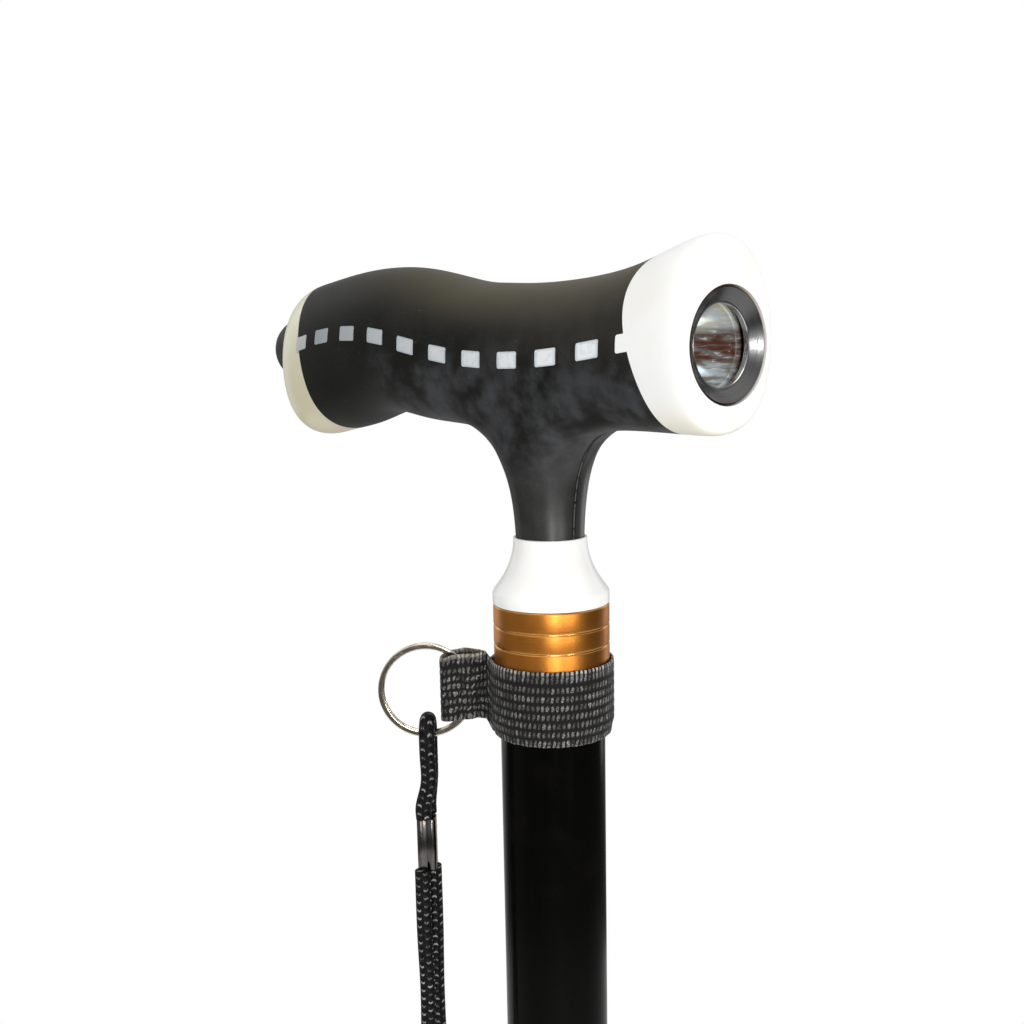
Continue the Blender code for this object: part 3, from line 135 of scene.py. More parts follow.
class Signal:
    """A shader value that takes part in Python arithmetic."""

    def __init__(self, graph: "Graph", socket: bpy.types.NodeSocket) -> None:
        """Keeps the graph and the output socket that carries the value."""
        self.graph = graph
        self.socket = socket

    def __add__(self, other: "Signal | float") -> "Signal":
        """This value plus another."""
        return self.graph.math("ADD", self, other)

    def __sub__(self, other: "Signal | float") -> "Signal":
        """This value minus another."""
        return self.graph.math("SUBTRACT", self, other)

    def __rsub__(self, other: float) -> "Signal":
        """A number minus this value."""
        return self.graph.math("SUBTRACT", other, self)

    def __mul__(self, other: "Signal | float") -> "Signal":
        """This value times another."""
        return self.graph.math("MULTIPLY", self, other)

    def __truediv__(self, other: "Signal | float") -> "Signal":
        """This value divided by another."""
        return self.graph.math("DIVIDE", self, other)

    def __pow__(self, other: "Signal | float") -> "Signal":
        """This value raised to a power."""
        return self.graph.math("POWER", self, other)

    __radd__ = __add__
    __rmul__ = __mul__

    def apply(self, operation: str, *others: "Signal | float") -> "Signal":
        """Another Math node's operation on this value."""
        return self.graph.math(operation, self, *others)

    def rise(self, low: float, high: float) -> "Signal":
        """Climbs smoothly from 0 to 1.

        Args:
            low: the value at which the result is 0.
            high: the value at which the result is 1; below low it falls instead.

        Returns:
            The smooth step.
        """
        settings = {"interpolation_type": "SMOOTHSTEP"}
        inputs = {"Value": self, "From Min": low, "From Max": high}
        return self.graph.value("ShaderNodeMapRange", settings, inputs, "Result")


class Graph:
    """The node graph of a material or of the world."""

    def __init__(self, tree: bpy.types.NodeTree) -> None:
        """Takes over a node tree and empties it."""
        self.tree = tree
        tree.nodes.clear()

    def node(self, kind: str, settings: dict[str, Any], inputs: dict[Any, Any]) -> bpy.types.Node:
        """Adds any node.

        Args:
            kind: the node's type.
            settings: its own settings, set first.
            inputs: values or links of its sockets, by name or number.

        Returns:
            The node.
        """
        made = self.tree.nodes.new(kind)
        for name, value in settings.items():
            setattr(made, name, value)
        for key, value in inputs.items():
            socket = made.inputs[key]
            if isinstance(value, Signal):
                self.tree.links.new(value.socket, socket)
            elif isinstance(value, bpy.types.NodeSocket):
                self.tree.links.new(value, socket)
            else:
                socket.default_value = value
        return made

    def value(self, kind: str, settings: dict[str, Any], inputs: dict[Any, Any], output: Any = 0) -> Signal:
        """Adds a node and wraps one of its outputs."""
        return Signal(self, self.node(kind, settings, inputs).outputs[output])

    def math(self, operation: str, *values: Signal | float) -> Signal:
        """One Math node on values or numbers."""
        return self.value("ShaderNodeMath", {"operation": operation}, dict(enumerate(values)))

    def place(self) -> bpy.types.NodeSocket:
        """The place on the object, in metres."""
        return self.node("ShaderNodeTexCoord", {}, {}).outputs["Object"]

    def facing(self) -> bpy.types.NodeSocket:
        """The way that the surface faces, on the object's own axes."""
        return self.node("ShaderNodeTexCoord", {}, {}).outputs["Normal"]

    def cells(self, first: Signal, second: Signal) -> Signal:
        """A number between 0 and 1 that is the same all over each whole cell of two values."""
        spot = self.node("ShaderNodeCombineXYZ", {}, {0: first.apply("FLOOR"), 1: second.apply("FLOOR")})
        return self.value("ShaderNodeTexWhiteNoise", {"noise_dimensions": "2D"}, {"Vector": spot.outputs[0]})

    def pattern(self, name: str) -> bpy.types.NodeSocket:
        """A UV map of the piece."""
        return self.node("ShaderNodeUVMap", {"uv_map": name}, {}).outputs["UV"]

    def parts(self, vector: bpy.types.NodeSocket) -> tuple[Signal, Signal, Signal]:
        """The three parts of a vector."""
        made = self.node("ShaderNodeSeparateXYZ", {}, {0: vector})
        return Signal(self, made.outputs[0]), Signal(self, made.outputs[1]), Signal(self, made.outputs[2])

    def torch_reach(self) -> Signal:
        """The distance from the torch's axis.

        Returns:
            The distance in metres.
        """
        _, across, level = self.parts(self.place())
        up = level - TORCH_LEVEL
        return (across * across + up * up).apply("SQRT")

    def lines(self, along: Signal, pitch: float) -> Signal:
        """Noise in lines across one direction, as a turning tool leaves them."""
        inputs = {"W": along / pitch, "Scale": 1.0, "Detail": 3.0}
        return self.value("ShaderNodeTexNoise", {"noise_dimensions": "1D"}, inputs, "Fac")

    def noise(self, size: float | tuple[float, float, float], detail: float = 2.0, vector: Any = None,
              rough: float = 0.5) -> Signal:
        """Cloudy noise.

        Args:
            size: the size of its clouds in metres, or one for each axis.
            detail: how many finer layers it has.
            vector: what it is laid over, the object's place if left out.
            rough: the strength of the finer layers.

        Returns:
            A value about 0.5.
        """
        sizes = size if isinstance(size, tuple) else (size, size, size)
        scaled = {0: vector or self.place(), 1: tuple(1 / part for part in sizes)}
        laid = self.node("ShaderNodeVectorMath", {"operation": "MULTIPLY"}, scaled).outputs[0]
        inputs = {"Vector": laid, "Scale": 1.0, "Detail": detail, "Roughness": rough}
        return self.value("ShaderNodeTexNoise", {}, inputs, "Fac")

    def mixed(self, share: Signal | float, first: Any, second: Any) -> bpy.types.NodeSocket:
        """A colour between two colours."""
        return self.node("ShaderNodeMix", {"data_type": "RGBA"}, {0: share, 6: first, 7: second}).outputs[2]

    def bump(self, height: Signal, depth: float, strength: float = 1.0,
             over: Any = None) -> bpy.types.NodeSocket:
        """A normal that a height bends.

        Args:
            height: the height, where 1 stands one depth out.
            depth: what a height of 1 measures, in metres.
            strength: how strongly it bends the normal.
            over: another bump's normal, which this one adds to.

        Returns:
            The normal.
        """
        inputs = {"Height": height, "Distance": depth, "Strength": strength}
        if over is not None:
            inputs["Normal"] = over
        return self.node("ShaderNodeBump", {}, inputs).outputs[0]

    def surface(self, inputs: dict[str, Any]) -> bpy.types.NodeSocket:
        """The main shader with its inputs."""
        return self.node("ShaderNodeBsdfPrincipled", {}, inputs).outputs[0]

    def end(self, shader: bpy.types.NodeSocket, kind: str = "ShaderNodeOutputMaterial") -> None:
        """Ends the graph in its output."""
        self.node(kind, {}, {"Surface": shader})


@dataclass(frozen=True)
class Finish:
    """A surface finish, which makes its material once."""

    name: str

    def material(self) -> bpy.types.Material:
        """The finish's material.

        Returns:
            The material, the same one at every call.
        """
        found = bpy.data.materials.get(self.name)
        if found:
            return found
        made = bpy.data.materials.new(self.name)
        made.use_nodes = True
        graph = Graph(made.node_tree)
        graph.end(self.paint(graph))
        return made

    def paint(self, graph: Graph) -> bpy.types.NodeSocket:
        """The shader of this finish."""
        raise NotImplementedError


@dataclass(frozen=True)
class PlainRubber(Finish):
    """Black moulded rubber with a fine grain."""

    name: str = "foot_rubber"
    dark: Colour = tone(26, 26, 26)
    light: Colour = tone(46, 45, 43)

    def paint(self, graph: Graph) -> bpy.types.NodeSocket:
        """Soft blotches under a fine grain.

        Args:
            graph: the material's graph.

        Returns:
            The shader.
        """
        clouds = graph.noise(8 * MM, 3.0)
        specks = graph.noise(0.5 * MM, 2.0, rough=0.7)
        colour = graph.mixed((clouds * 0.6 + specks * 0.4).rise(0.4, 0.7), self.dark, self.light)
        normal = graph.bump(specks, 0.04 * MM, 0.7)
        return graph.surface({"Base Color": colour, "Roughness": clouds * 0.14 + specks * 0.1 + 0.44,
                              "Specular IOR Level": 0.3, "Normal": normal})


@dataclass(frozen=True)
class GripRubber(Finish):
    """The handle's near-black rubber, with a painted olive sheen above, bluish-grey blotches below and its
    moulding line.
    """

    name: str = "grip_rubber"
    dark: Colour = tone(15, 15, 13)
    bloom: Colour = tone(30, 29, 25)
    ridge: Colour = tone(74, 69, 52)
    front: Colour = tone(50, 48, 42)
    lower_blotch: Colour = tone(64, 65, 68)
    speck: Colour = tone(96, 95, 88)
    seam_glint: Colour = tone(128, 128, 126)

    def paint(self, graph: Graph) -> bpy.types.NodeSocket:
        """Blotches by place, a painted sheen by the way the rubber faces, a fine grain and the mould's
        parting line with painted light and shade.

        Args:
            graph: the material's graph.

        Returns:
            The shader.
        """
        along, across, level = graph.parts(graph.place())
        upward = graph.parts(graph.facing())[2]
        clouds = graph.noise(10 * MM, 3.0)
        wisps = graph.noise(4 * MM, 3.0)
        specks = graph.noise(0.34 * MM, 2.0, rough=0.7)
        wear = (clouds * 0.6 + specks * 0.4).rise(0.40, 0.68) * (along.rise(-70 * MM, -30 * MM) * 0.7 + 0.3)
        colour = graph.mixed(wear, self.dark, self.bloom)
        # Painted sheen: a lighter olive-grey over the front top of the handle.
        ahead = along.rise(-16 * MM, 26 * MM) * level.rise(COLLAR_LEVEL + 46 * MM, COLLAR_LEVEL + 54 * MM)
        colour = graph.mixed(ahead * (wisps * 0.6 + 0.35), colour, self.front)
        # Painted sheen: an olive tone on the faces that look up, stronger towards the front.
        ridge = upward.rise(0.25, 0.95) * (along.rise(-68 * MM, -18 * MM) * 0.8 + 0.08)
        colour = graph.mixed(ridge * (clouds * 0.5 + 0.7), colour, self.ridge)
        # Bluish-grey blotches on the lower handle, fading out on the neck.
        low = level.rise(COLLAR_LEVEL + 56 * MM, COLLAR_LEVEL + 44 * MM) * along.rise(-50 * MM, -34 * MM)
        low = low * (level.rise(COLLAR_LEVEL + 22 * MM, COLLAR_LEVEL + 36 * MM) * 0.85 + 0.15)
        colour = graph.mixed(low * (clouds * 0.5 + wisps * 0.5).rise(0.38, 0.64) * 0.8, colour, self.lower_blotch)
        colour = graph.mixed(specks.rise(0.66, 0.74) * wisps.rise(0.4, 0.6) * 0.7, colour, self.speck)
        line = across.apply("ABSOLUTE")
        broken = graph.noise((1.0, 1.0, 1.3 * MM), 2.0).rise(0.36, 0.5)
        groove = line.rise(0.62 * MM, 0.3 * MM) * level.rise(COLLAR_LEVEL + 46 * MM, COLLAR_LEVEL + 36 * MM)
        flash_and_glint = line.rise(0.24 * MM, 0.08 * MM) * broken
        flash_and_glint = flash_and_glint * level.rise(COLLAR_LEVEL + 33 * MM, COLLAR_LEVEL + 29 * MM)
        # The groove beside the parting line is drawn back to the plain dark as painted shade, and the raised
        # line itself gets a painted highlight.
        colour = graph.mixed(groove * 0.8, colour, self.dark)
        colour = graph.mixed(flash_and_glint * 0.4, colour, self.seam_glint)
        normal = graph.bump(specks, 0.03 * MM, 0.6)
        normal = graph.bump(wisps, 0.05 * MM, 0.35, normal)
        normal = graph.bump(flash_and_glint * 0.8 - groove * 0.5, 0.15 * MM, 0.7, normal)
        handled = level.rise(COLLAR_LEVEL + 40 * MM, COLLAR_LEVEL + 22 * MM) * along.rise(-4 * MM, 3.5 * MM)
        return graph.surface({"Base Color": colour, "Roughness": clouds * 0.14 + specks * 0.10 + 0.38,
                              "Specular IOR Level": 0.12, "Normal": normal,
                              "Coat Weight": handled * (wisps * 0.3 + 0.85) * (1.0 - groove),
                              "Coat Roughness": 0.34, "Coat IOR": 1.62})


@dataclass(frozen=True)
class WhitePlastic(Finish):
    """Smooth white plastic."""

    name: str = "white_gloss_plastic"
    light: Colour = tone(246, 246, 244)
    shade: Colour = tone(240, 239, 234)
    under: Colour = tone(236, 229, 198)

    def paint(self, graph: Graph) -> bpy.types.NodeSocket:
        """A plain white with faint clouds, a painted warm shade on the faces that look down, half gloss with
        the ripple of a moulding.

        Args:
            graph: the material's graph.

        Returns:
            The shader.
        """
        clouds = graph.noise(14 * MM, 2.0)
        colour = graph.mixed(clouds.rise(0.35, 0.75), self.light, self.shade)
        upward = graph.parts(graph.facing())[2]
        # Painted shade: the faces that look down are drawn warmer and darker.
        colour = graph.mixed(upward.rise(-0.45, -0.95) * 0.6, colour, self.under)
        rough = graph.noise(1.4 * MM, 2.0) * 0.08 + 0.28
        normal = graph.bump(graph.noise(6 * MM, 1.0), 0.05 * MM, 0.3)
        return graph.surface({"Base Color": colour, "Roughness": rough, "Normal": normal,
                              "Subsurface Weight": 0.06, "Subsurface Scale": 2 * MM,
                              "Coat Weight": 0.15, "Coat Roughness": 0.2})


@dataclass(frozen=True)
class ShadedRearPlastic(Finish):
    """The core's rear ring: its white plastic with painted shade, ivory above and khaki below."""

    name: str = "shaded_rear_plastic"
    upper: Colour = tone(214, 211, 188)
    lower: Colour = tone(206, 199, 170)
    foot: Colour = tone(214, 184, 164)
    tab: Colour = tone(172, 178, 178)

    def paint(self, graph: Graph) -> bpy.types.NodeSocket:
        """A painted shade that deepens downwards.

        Args:
            graph: the material's graph.

        Returns:
            The shader.
        """
        along, _, level = graph.parts(graph.place())
        # Painted shade: ivory deepening to khaki downwards, pinkish at the foot and grey on the rear tab.
        tint = graph.mixed(level.rise(COLLAR_LEVEL + 60 * MM, COLLAR_LEVEL + 40 * MM), self.upper, self.lower)
        tint = graph.mixed(level.rise(COLLAR_LEVEL + 34 * MM, COLLAR_LEVEL + 31.5 * MM), tint, self.foot)
        tab = along.rise(-75.9 * MM, -74.6 * MM)
        tab = tab * level.rise(COLLAR_LEVEL + 50.9 * MM, COLLAR_LEVEL + 51.2 * MM)
        tab = tab * level.rise(COLLAR_LEVEL + 55.7 * MM, COLLAR_LEVEL + 55.4 * MM)
        tint = graph.mixed(tab, tint, self.tab)
        colour = graph.mixed(graph.noise(5 * MM, 2.0).rise(0.3, 0.8) * 0.3, tint, self.lower)
        rough = graph.noise(1.4 * MM, 2.0) * 0.08 + 0.3
        return graph.surface({"Base Color": colour, "Roughness": rough, "Coat Weight": 0.15})


@dataclass(frozen=True)
class ShadedSquarePlastic(Finish):
    """The core's white squares that stand through the rubber, with painted shade that leaves them brightest
    in their middle.
    """

    name: str = "shaded_square_plastic"
    front: Colour = tone(232, 237, 240)
    rear: Colour = tone(126, 134, 137)
    rim: Colour = tone(150, 158, 162)
    map_name: str = "square"

    def paint(self, graph: Graph) -> bpy.types.NodeSocket:
        """A bluish white with painted shade that greys towards each square's rim and towards the handle's
        rear.

        Args:
            graph: the material's graph.

        Returns:
            The shader.
        """
        across, up, _ = graph.parts(graph.pattern(self.map_name))
        rim = across.apply("ABSOLUTE").apply("MAXIMUM", up.apply("ABSOLUTE"))
        along = graph.parts(graph.place())[0]
        # Painted shade: darker towards the handle's rear and towards each square's rim.
        colour = graph.mixed(along.rise(-90 * MM, 34 * MM), self.rear, self.front)
        colour = graph.mixed(rim.rise(0.62, 1.02) * 0.45, colour, self.rim)
        colour = graph.mixed(graph.noise(1.2 * MM, 2.0).rise(0.4, 0.75) * 0.25, colour, self.rim)
        rough = graph.noise(1.1 * MM, 2.0) * 0.1 + 0.42
        return graph.surface({"Base Color": colour, "Roughness": rough, "Specular IOR Level": 0.3})


@dataclass(frozen=True)
class TurnedMetal(Finish):
    """Metal with the fine rings that turning leaves, about the torch's axis."""

    name: str = "turned_grey_metal"
    dark: Colour = tone(82, 82, 83)
    light: Colour = tone(134, 134, 134)
    gap: Colour = tone(84, 46, 38)
    lip: Colour = tone(226, 224, 220)
    line: float = 0.10 * MM
    roughness: float = 0.13

    def paint(self, graph: Graph) -> bpy.types.NodeSocket:
        """Rings of two greys that also bend the light.

        Args:
            graph: the material's graph.

        Returns:
            The shader.
        """
        _, across, level = graph.parts(graph.place())
        up = level - TORCH_LEVEL
        reach = (across * across + up * up).apply("SQRT")
        rings = graph.value("ShaderNodeTexNoise", {"noise_dimensions": "1D"},
                            {"W": reach / self.line, "Scale": 1.0, "Detail": 3.0}, "Fac")
        colour = graph.mixed(rings.rise(0.3, 0.7), self.dark, self.light)
        # Painted shadow: a reddish-brown ring at the outer edge for the shaded joint against the head.
        colour = graph.mixed(reach.rise(9.82 * MM, 9.98 * MM), colour, self.gap)
        # Painted highlight: a pale ring on the inner lip.
        colour = graph.mixed(reach.rise(7.52 * MM, 7.44 * MM) * 0.8, colour, self.lip)
        normal = graph.bump(rings, 0.014 * MM, 0.8)
        return graph.surface({"Base Color": colour, "Metallic": 1.0, "Normal": normal,
                              "Roughness": rings * 0.14 + self.roughness})


@dataclass(frozen=True)
class PlatedMetal(Finish):
    """Bright plated metal with faint handling marks."""

    name: str = "nickel_plate"
    bright: Colour = tone(226, 219, 206)
    dull: Colour = tone(168, 152, 128)
    roughness: float = 0.12
    mark: float = 1.6 * MM

    def paint(self, graph: Graph) -> bpy.types.NodeSocket:
        """Clouds of duller metal, with a rougher surface on them.

        Args:
            graph: the material's graph.

        Returns:
            The shader.
        """
        clouds = graph.noise(self.mark, 4.0, rough=0.65)
        dull = clouds.rise(0.5, 0.75)
        colour = graph.mixed(dull, self.bright, self.dull)
        rough = dull * 0.18 + self.roughness
        normal = graph.bump(graph.noise(0.5 * MM, 2.0), 0.006 * MM, 0.5)
        return graph.surface({"Base Color": colour, "Metallic": 1.0, "Roughness": rough, "Normal": normal})


@dataclass(frozen=True)
class CupChrome(Finish):
    """The reflector's bright coat with a painted reflection: clear above and below, and the lamp's brown
    reflection at its middle.
    """

    name: str = "reflector_chrome"
    cream: Colour = tone(240, 237, 214)
    blue: Colour = tone(208, 220, 228)
    grey: Colour = tone(142, 140, 134)
    brown: Colour = tone(112, 62, 46)
    spark: Colour = tone(252, 250, 246)

    def paint(self, graph: Graph) -> bpy.types.NodeSocket:
        """A painted reflection: streaks across the cup in three bands, with painted glints among them.

        Args:
            graph: the material's graph.

        Returns:
            The shader.
        """
        place = graph.place()
        up = graph.parts(place)[2] - TORCH_LEVEL
        streaks = graph.noise((4 * MM, 3 * MM, 0.8 * MM), 3.0)
        fine = graph.noise((1.5 * MM, 1.5 * MM, 0.3 * MM), 2.0)
        upper = up.rise(1.8 * MM, 3.8 * MM)
        lower = up.rise(-2.2 * MM, -4.0 * MM)
        # Painted reflection: brown at the middle for the lamp, cream above and bluish below.
        colour = graph.mixed(streaks.rise(0.40, 0.62), self.brown, self.grey)
        colour = graph.mixed(upper, colour, graph.mixed(streaks.rise(0.44, 0.56), self.blue, self.cream))
        colour = graph.mixed(lower, colour, graph.mixed(streaks.rise(0.40, 0.60), self.grey, self.blue))
        # Painted glints among the streaks.
        spark = fine.rise(0.60, 0.66) * streaks.rise(0.46, 0.56)
        colour = graph.mixed(spark * 0.8, colour, self.spark)
        return graph.surface({"Base Color": colour, "Metallic": 0.5, "Roughness": fine * 0.16 + 0.12})


@dataclass(frozen=True)
class ClearDisc(Finish):
    """Clear plastic that shows what lies behind it, with a reflection over it."""

    name: str = "clear_disc"
    haze: Colour = tone(236, 240, 244)

    def paint(self, graph: Graph) -> bpy.types.NodeSocket:
        """A see-through shader under a mirror that grows towards the rim of sight.

        Args:
            graph: the material's graph.

        Returns:
            The shader.
        """
        facing = graph.value("ShaderNodeLayerWeight", {}, {"Blend": 0.5}, "Facing")
        share = facing ** 5.0 * 0.9 + 0.035
        clear = graph.node("ShaderNodeBsdfTransparent", {}, {"Color": (1.0, 1.0, 1.0, 1.0)})
        mirror = graph.surface({"Base Color": self.haze, "Roughness": 0.04, "Metallic": 1.0})
        return graph.node("ShaderNodeMixShader", {}, {0: share, 1: clear.outputs[0], 2: mirror}).outputs[0]


@dataclass(frozen=True)
class LampDome(Finish):
    """The lamp: a yellow chip under a clear dome on a dark base."""

    name: str = "lamp_dome"
    chip: Colour = tone(214, 160, 60)
    base: Colour = tone(96, 54, 34)
    glint: Colour = tone(240, 232, 220)

    def paint(self, graph: Graph) -> bpy.types.NodeSocket:
        """Yellow on the axis and brown round it, with a clear coat.

        Args:
            graph: the material's graph.

        Returns:
            The shader.
        """
        specks = graph.noise(0.5 * MM, 2.0).rise(0.58, 0.66)
        colour = graph.mixed(graph.torch_reach().rise(0.6 * MM, 1.1 * MM), self.chip, self.base)
        # Painted glints: pale specks on the dome.
        colour = graph.mixed(specks * 0.5, colour, self.glint)
        return graph.surface({"Base Color": colour, "Roughness": 0.18, "Coat Weight": 1.0})


@dataclass(frozen=True)
class GoldAnodised(Finish):
    """Gold anodised aluminium, turned, with fine lines round it."""

    name: str = "gold_anodised_turned"
    deep: Colour = tone(186, 112, 36)
    bright: Colour = tone(208, 144, 72)
    lit: Colour = tone(248, 196, 120)
    line: float = 0.09 * MM
    levels: tuple[float, ...] = GOLD_GROOVES

    def paint(self, graph: Graph) -> bpy.types.NodeSocket:
        """Lines by height, and clouds of a redder gold.

        Args:
            graph: the material's graph.

        Returns:
            The shader.
        """
        level = graph.parts(graph.place())[2]
        lines = graph.lines(level, self.line)
        glint = graph.noise((0.5 * MM, 0.5 * MM, 0.12 * MM), 2.0).rise(0.45, 0.75)
        colour = graph.mixed(lines.rise(0.35, 0.7) * 0.6 + glint * 0.4, self.deep, self.bright)
        # Painted highlight: a lighter gold along the top edge and along both grooves.
        edge = level.rise(COLLAR_LEVEL - 0.45 * MM, COLLAR_LEVEL - 0.2 * MM)
        for groove in self.levels:
            beside = (level - (COLLAR_LEVEL - groove * MM)).apply("ABSOLUTE")
            edge = edge + beside.rise(0.34 * MM, 0.16 * MM)
        colour = graph.mixed(edge * 0.4, colour, self.lit)
        normal = graph.bump(lines, 0.012 * MM, 0.8)
        normal = graph.bump(glint, 0.012 * MM, 0.4, normal)
        return graph.surface({"Base Color": colour, "Metallic": 1.0, "Normal": normal,
                              "Roughness": lines * 0.1 - edge * 0.14 + 0.32})


@dataclass(frozen=True)
class GlossTube(Finish):
    """Black enamel on a tube, with a little orange peel and fine scratches along it."""

    name: str = "tube_enamel"
    black: Colour = tone(5, 5, 4)
    worn: Colour = tone(18, 16, 12)

    def paint(self, graph: Graph) -> bpy.types.NodeSocket:
        """Long faint scratches, dust and a gloss that they break.

        Args:
            graph: the material's graph.

        Returns:
            The shader.
        """
        scratches = graph.noise((0.25 * MM, 0.25 * MM, 30 * MM), 3.0).rise(0.62, 0.75)
        clouds = graph.noise(7 * MM, 3.0)
        colour = graph.mixed(scratches * 0.35 + clouds.rise(0.45, 0.8) * 0.3, self.black, self.worn)
        rough = scratches * 0.14 + clouds * 0.08 + 0.14
        normal = graph.bump(graph.noise(1.3 * MM, 2.0), 0.008 * MM, 0.6)
        return graph.surface({"Base Color": colour, "Roughness": rough, "Normal": normal,
                              "Specular IOR Level": 0.06})


@dataclass(frozen=True)
class BlackPlastic(Finish):
    """Satin black plastic with a spark-eroded grain."""

    name: str = "black_satin_plastic"
    dark: Colour = tone(26, 26, 27)
    light: Colour = tone(44, 44, 45)

    def paint(self, graph: Graph) -> bpy.types.NodeSocket:
        """A fine grain in colour and surface.

        Args:
            graph: the material's graph.

        Returns:
            The shader.
        """
        grain = graph.noise(0.4 * MM, 3.0, rough=0.7)
        clouds = graph.noise(8 * MM, 2.0)
        colour = graph.mixed(grain.rise(0.35, 0.7) * 0.5 + clouds * 0.2, self.dark, self.light)
        normal = graph.bump(grain, 0.03 * MM, 0.6)
        return graph.surface({"Base Color": colour, "Roughness": clouds * 0.12 + 0.42, "Normal": normal})


@dataclass(frozen=True)
class FoilWrap(Finish):
    """A cell's wrapper: grey with a lighter band at the nose, and steel at both ends."""

    name: str = "cell_wrapper"
    wrap: Colour = tone(70, 78, 88)
    band: Colour = tone(196, 200, 204)
    steel: Colour = tone(190, 190, 186)
    radius: float = 5.0 * MM

    def paint(self, graph: Graph) -> bpy.types.NodeSocket:
        """Steel inside the wrapper's radius, and a band round each cell.

        Args:
            graph: the material's graph.

        Returns:
            The shader.
        """
        along = graph.parts(graph.place())[0]
        bare = graph.torch_reach().rise(self.radius, self.radius - 0.2 * MM)
        share = ((along + 100 * MM) / (44.8 * MM)).apply("FRACT")
        band = share.rise(0.20, 0.21) * share.rise(0.42, 0.41)
        scuff = graph.noise(1.5 * MM, 3.0)
        colour = graph.mixed(band, self.wrap, self.band)
        colour = graph.mixed(bare, colour, self.steel)
        return graph.surface({"Base Color": colour, "Metallic": bare * 0.6 + 0.35,
                              "Roughness": scuff * 0.2 + 0.25})


@dataclass(frozen=True)
class BoardLaminate(Finish):
    """The lamp's round board: pale lacquer with copper tracks under it."""

    name: str = "board_laminate"
    lacquer: Colour = tone(226, 228, 218)
    track: Colour = tone(178, 150, 96)

    def paint(self, graph: Graph) -> bpy.types.NodeSocket:
        """Tracks as rings about the lamp.

        Args:
            graph: the material's graph.

        Returns:
            The shader.
        """
        ring = (graph.torch_reach() / (2.6 * MM)).apply("FRACT")
        track = ring.rise(0.55, 0.6) * ring.rise(0.9, 0.85)
        colour = graph.mixed(track * 0.5, self.lacquer, self.track)
        return graph.surface({"Base Color": colour, "Roughness": graph.noise(1 * MM, 2.0) * 0.1 + 0.4,
                              "Normal": graph.bump(track, 0.03 * MM, 0.6)})


@dataclass(frozen=True)
class ElasticWeave(Finish):
    """Ribbed elastic webbing: courses of short upright ribs, laid over the UV map in ribs and courses."""

    name: str = "elastic_weave"
    ground: Colour = tone(14, 14, 14)
    rib: Colour = tone(104, 101, 98)
    crest: Colour = tone(196, 194, 188)
    plain: Colour = tone(122, 116, 104)
    map_name: str = "weave"

    def paint(self, graph: Graph) -> bpy.types.NodeSocket:
        """Ribs with dark lines between them and between their courses, partly the weave and partly painted
        shade, painted highlights on their crowns, each stitch with its own light.

        Args:
            graph: the material's graph.

        Returns:
            The shader.
        """
        along, across, _ = graph.parts(graph.place())
        run, course, _ = graph.parts(graph.pattern(self.map_name))
        tab = (along * along + across * across).apply("SQRT").rise(13.7 * MM, 15.5 * MM)
        strip = course.rise(7.55, 7.8) * tab
        course = course + tab * (graph.noise(4.0 * MM, 2.0) - 0.5) * 0.9
        run = run + (graph.noise(1.3 * MM, 1.0) - 0.5) * (tab * 1.1 + 0.55) + course.apply("FRACT") * 0.2
        run = run + graph.cells(course, course) * 0.3
        rib = (run.apply("FRACT") * math.pi).apply("SINE")
        up = (course.apply("FRACT") * math.pi).apply("SINE")
        thread = (rib ** 0.8) * (up ** 0.7)
        stitch = graph.cells(run, course)
        column = graph.cells(run, course * 0.0)
        yarn = graph.noise(0.24 * MM, 2.0, rough=0.8)
        # The ribs are drawn lighter on their crowns and dark in the furrows: the weave's pattern with painted
        # light and shade, varied at random by stitch and yarn.
        light = thread.rise(0.25, 1.0) * (stitch * 0.4 + column * 0.15 + yarn.rise(0.3, 0.7) * 0.7)
        colour = graph.mixed(light.rise(0.08, 1.05), self.ground, self.rib)
        # Painted highlights: the palest tone on the crowns of the threads, here and there.
        highlight_fleck = thread.rise(0.45, 0.85) * yarn.rise(0.53, 0.62) * (stitch.rise(0.2, 0.9) * 0.85 + 0.15)
        colour = graph.mixed(highlight_fleck * 0.62, colour, self.crest)
        colour = graph.mixed(strip * 0.6, colour, self.plain)
        # Painted highlights on the rib ends along the top and bottom rims.
        rim = course.rise(7.70, 7.86) * rib.rise(0.45, 0.85) * (stitch * 0.7 + 0.3)
        rim = rim + course.rise(0.34, 0.12) * rib.rise(0.4, 0.9) * yarn.rise(0.4, 0.6) * 0.7
        colour = graph.mixed(rim * 0.8, colour, self.crest)
        fuzz = graph.noise(0.12 * MM, 2.0)
        normal = graph.bump(thread, 0.16 * MM, 0.9)
        normal = graph.bump(fuzz, 0.03 * MM, 0.5, normal)
        return graph.surface({"Base Color": colour, "Roughness": fuzz * 0.15 + 0.66, "Normal": normal,
                              "Specular IOR Level": 0.2, "Sheen Weight": 0.05, "Sheen Roughness": 0.5})


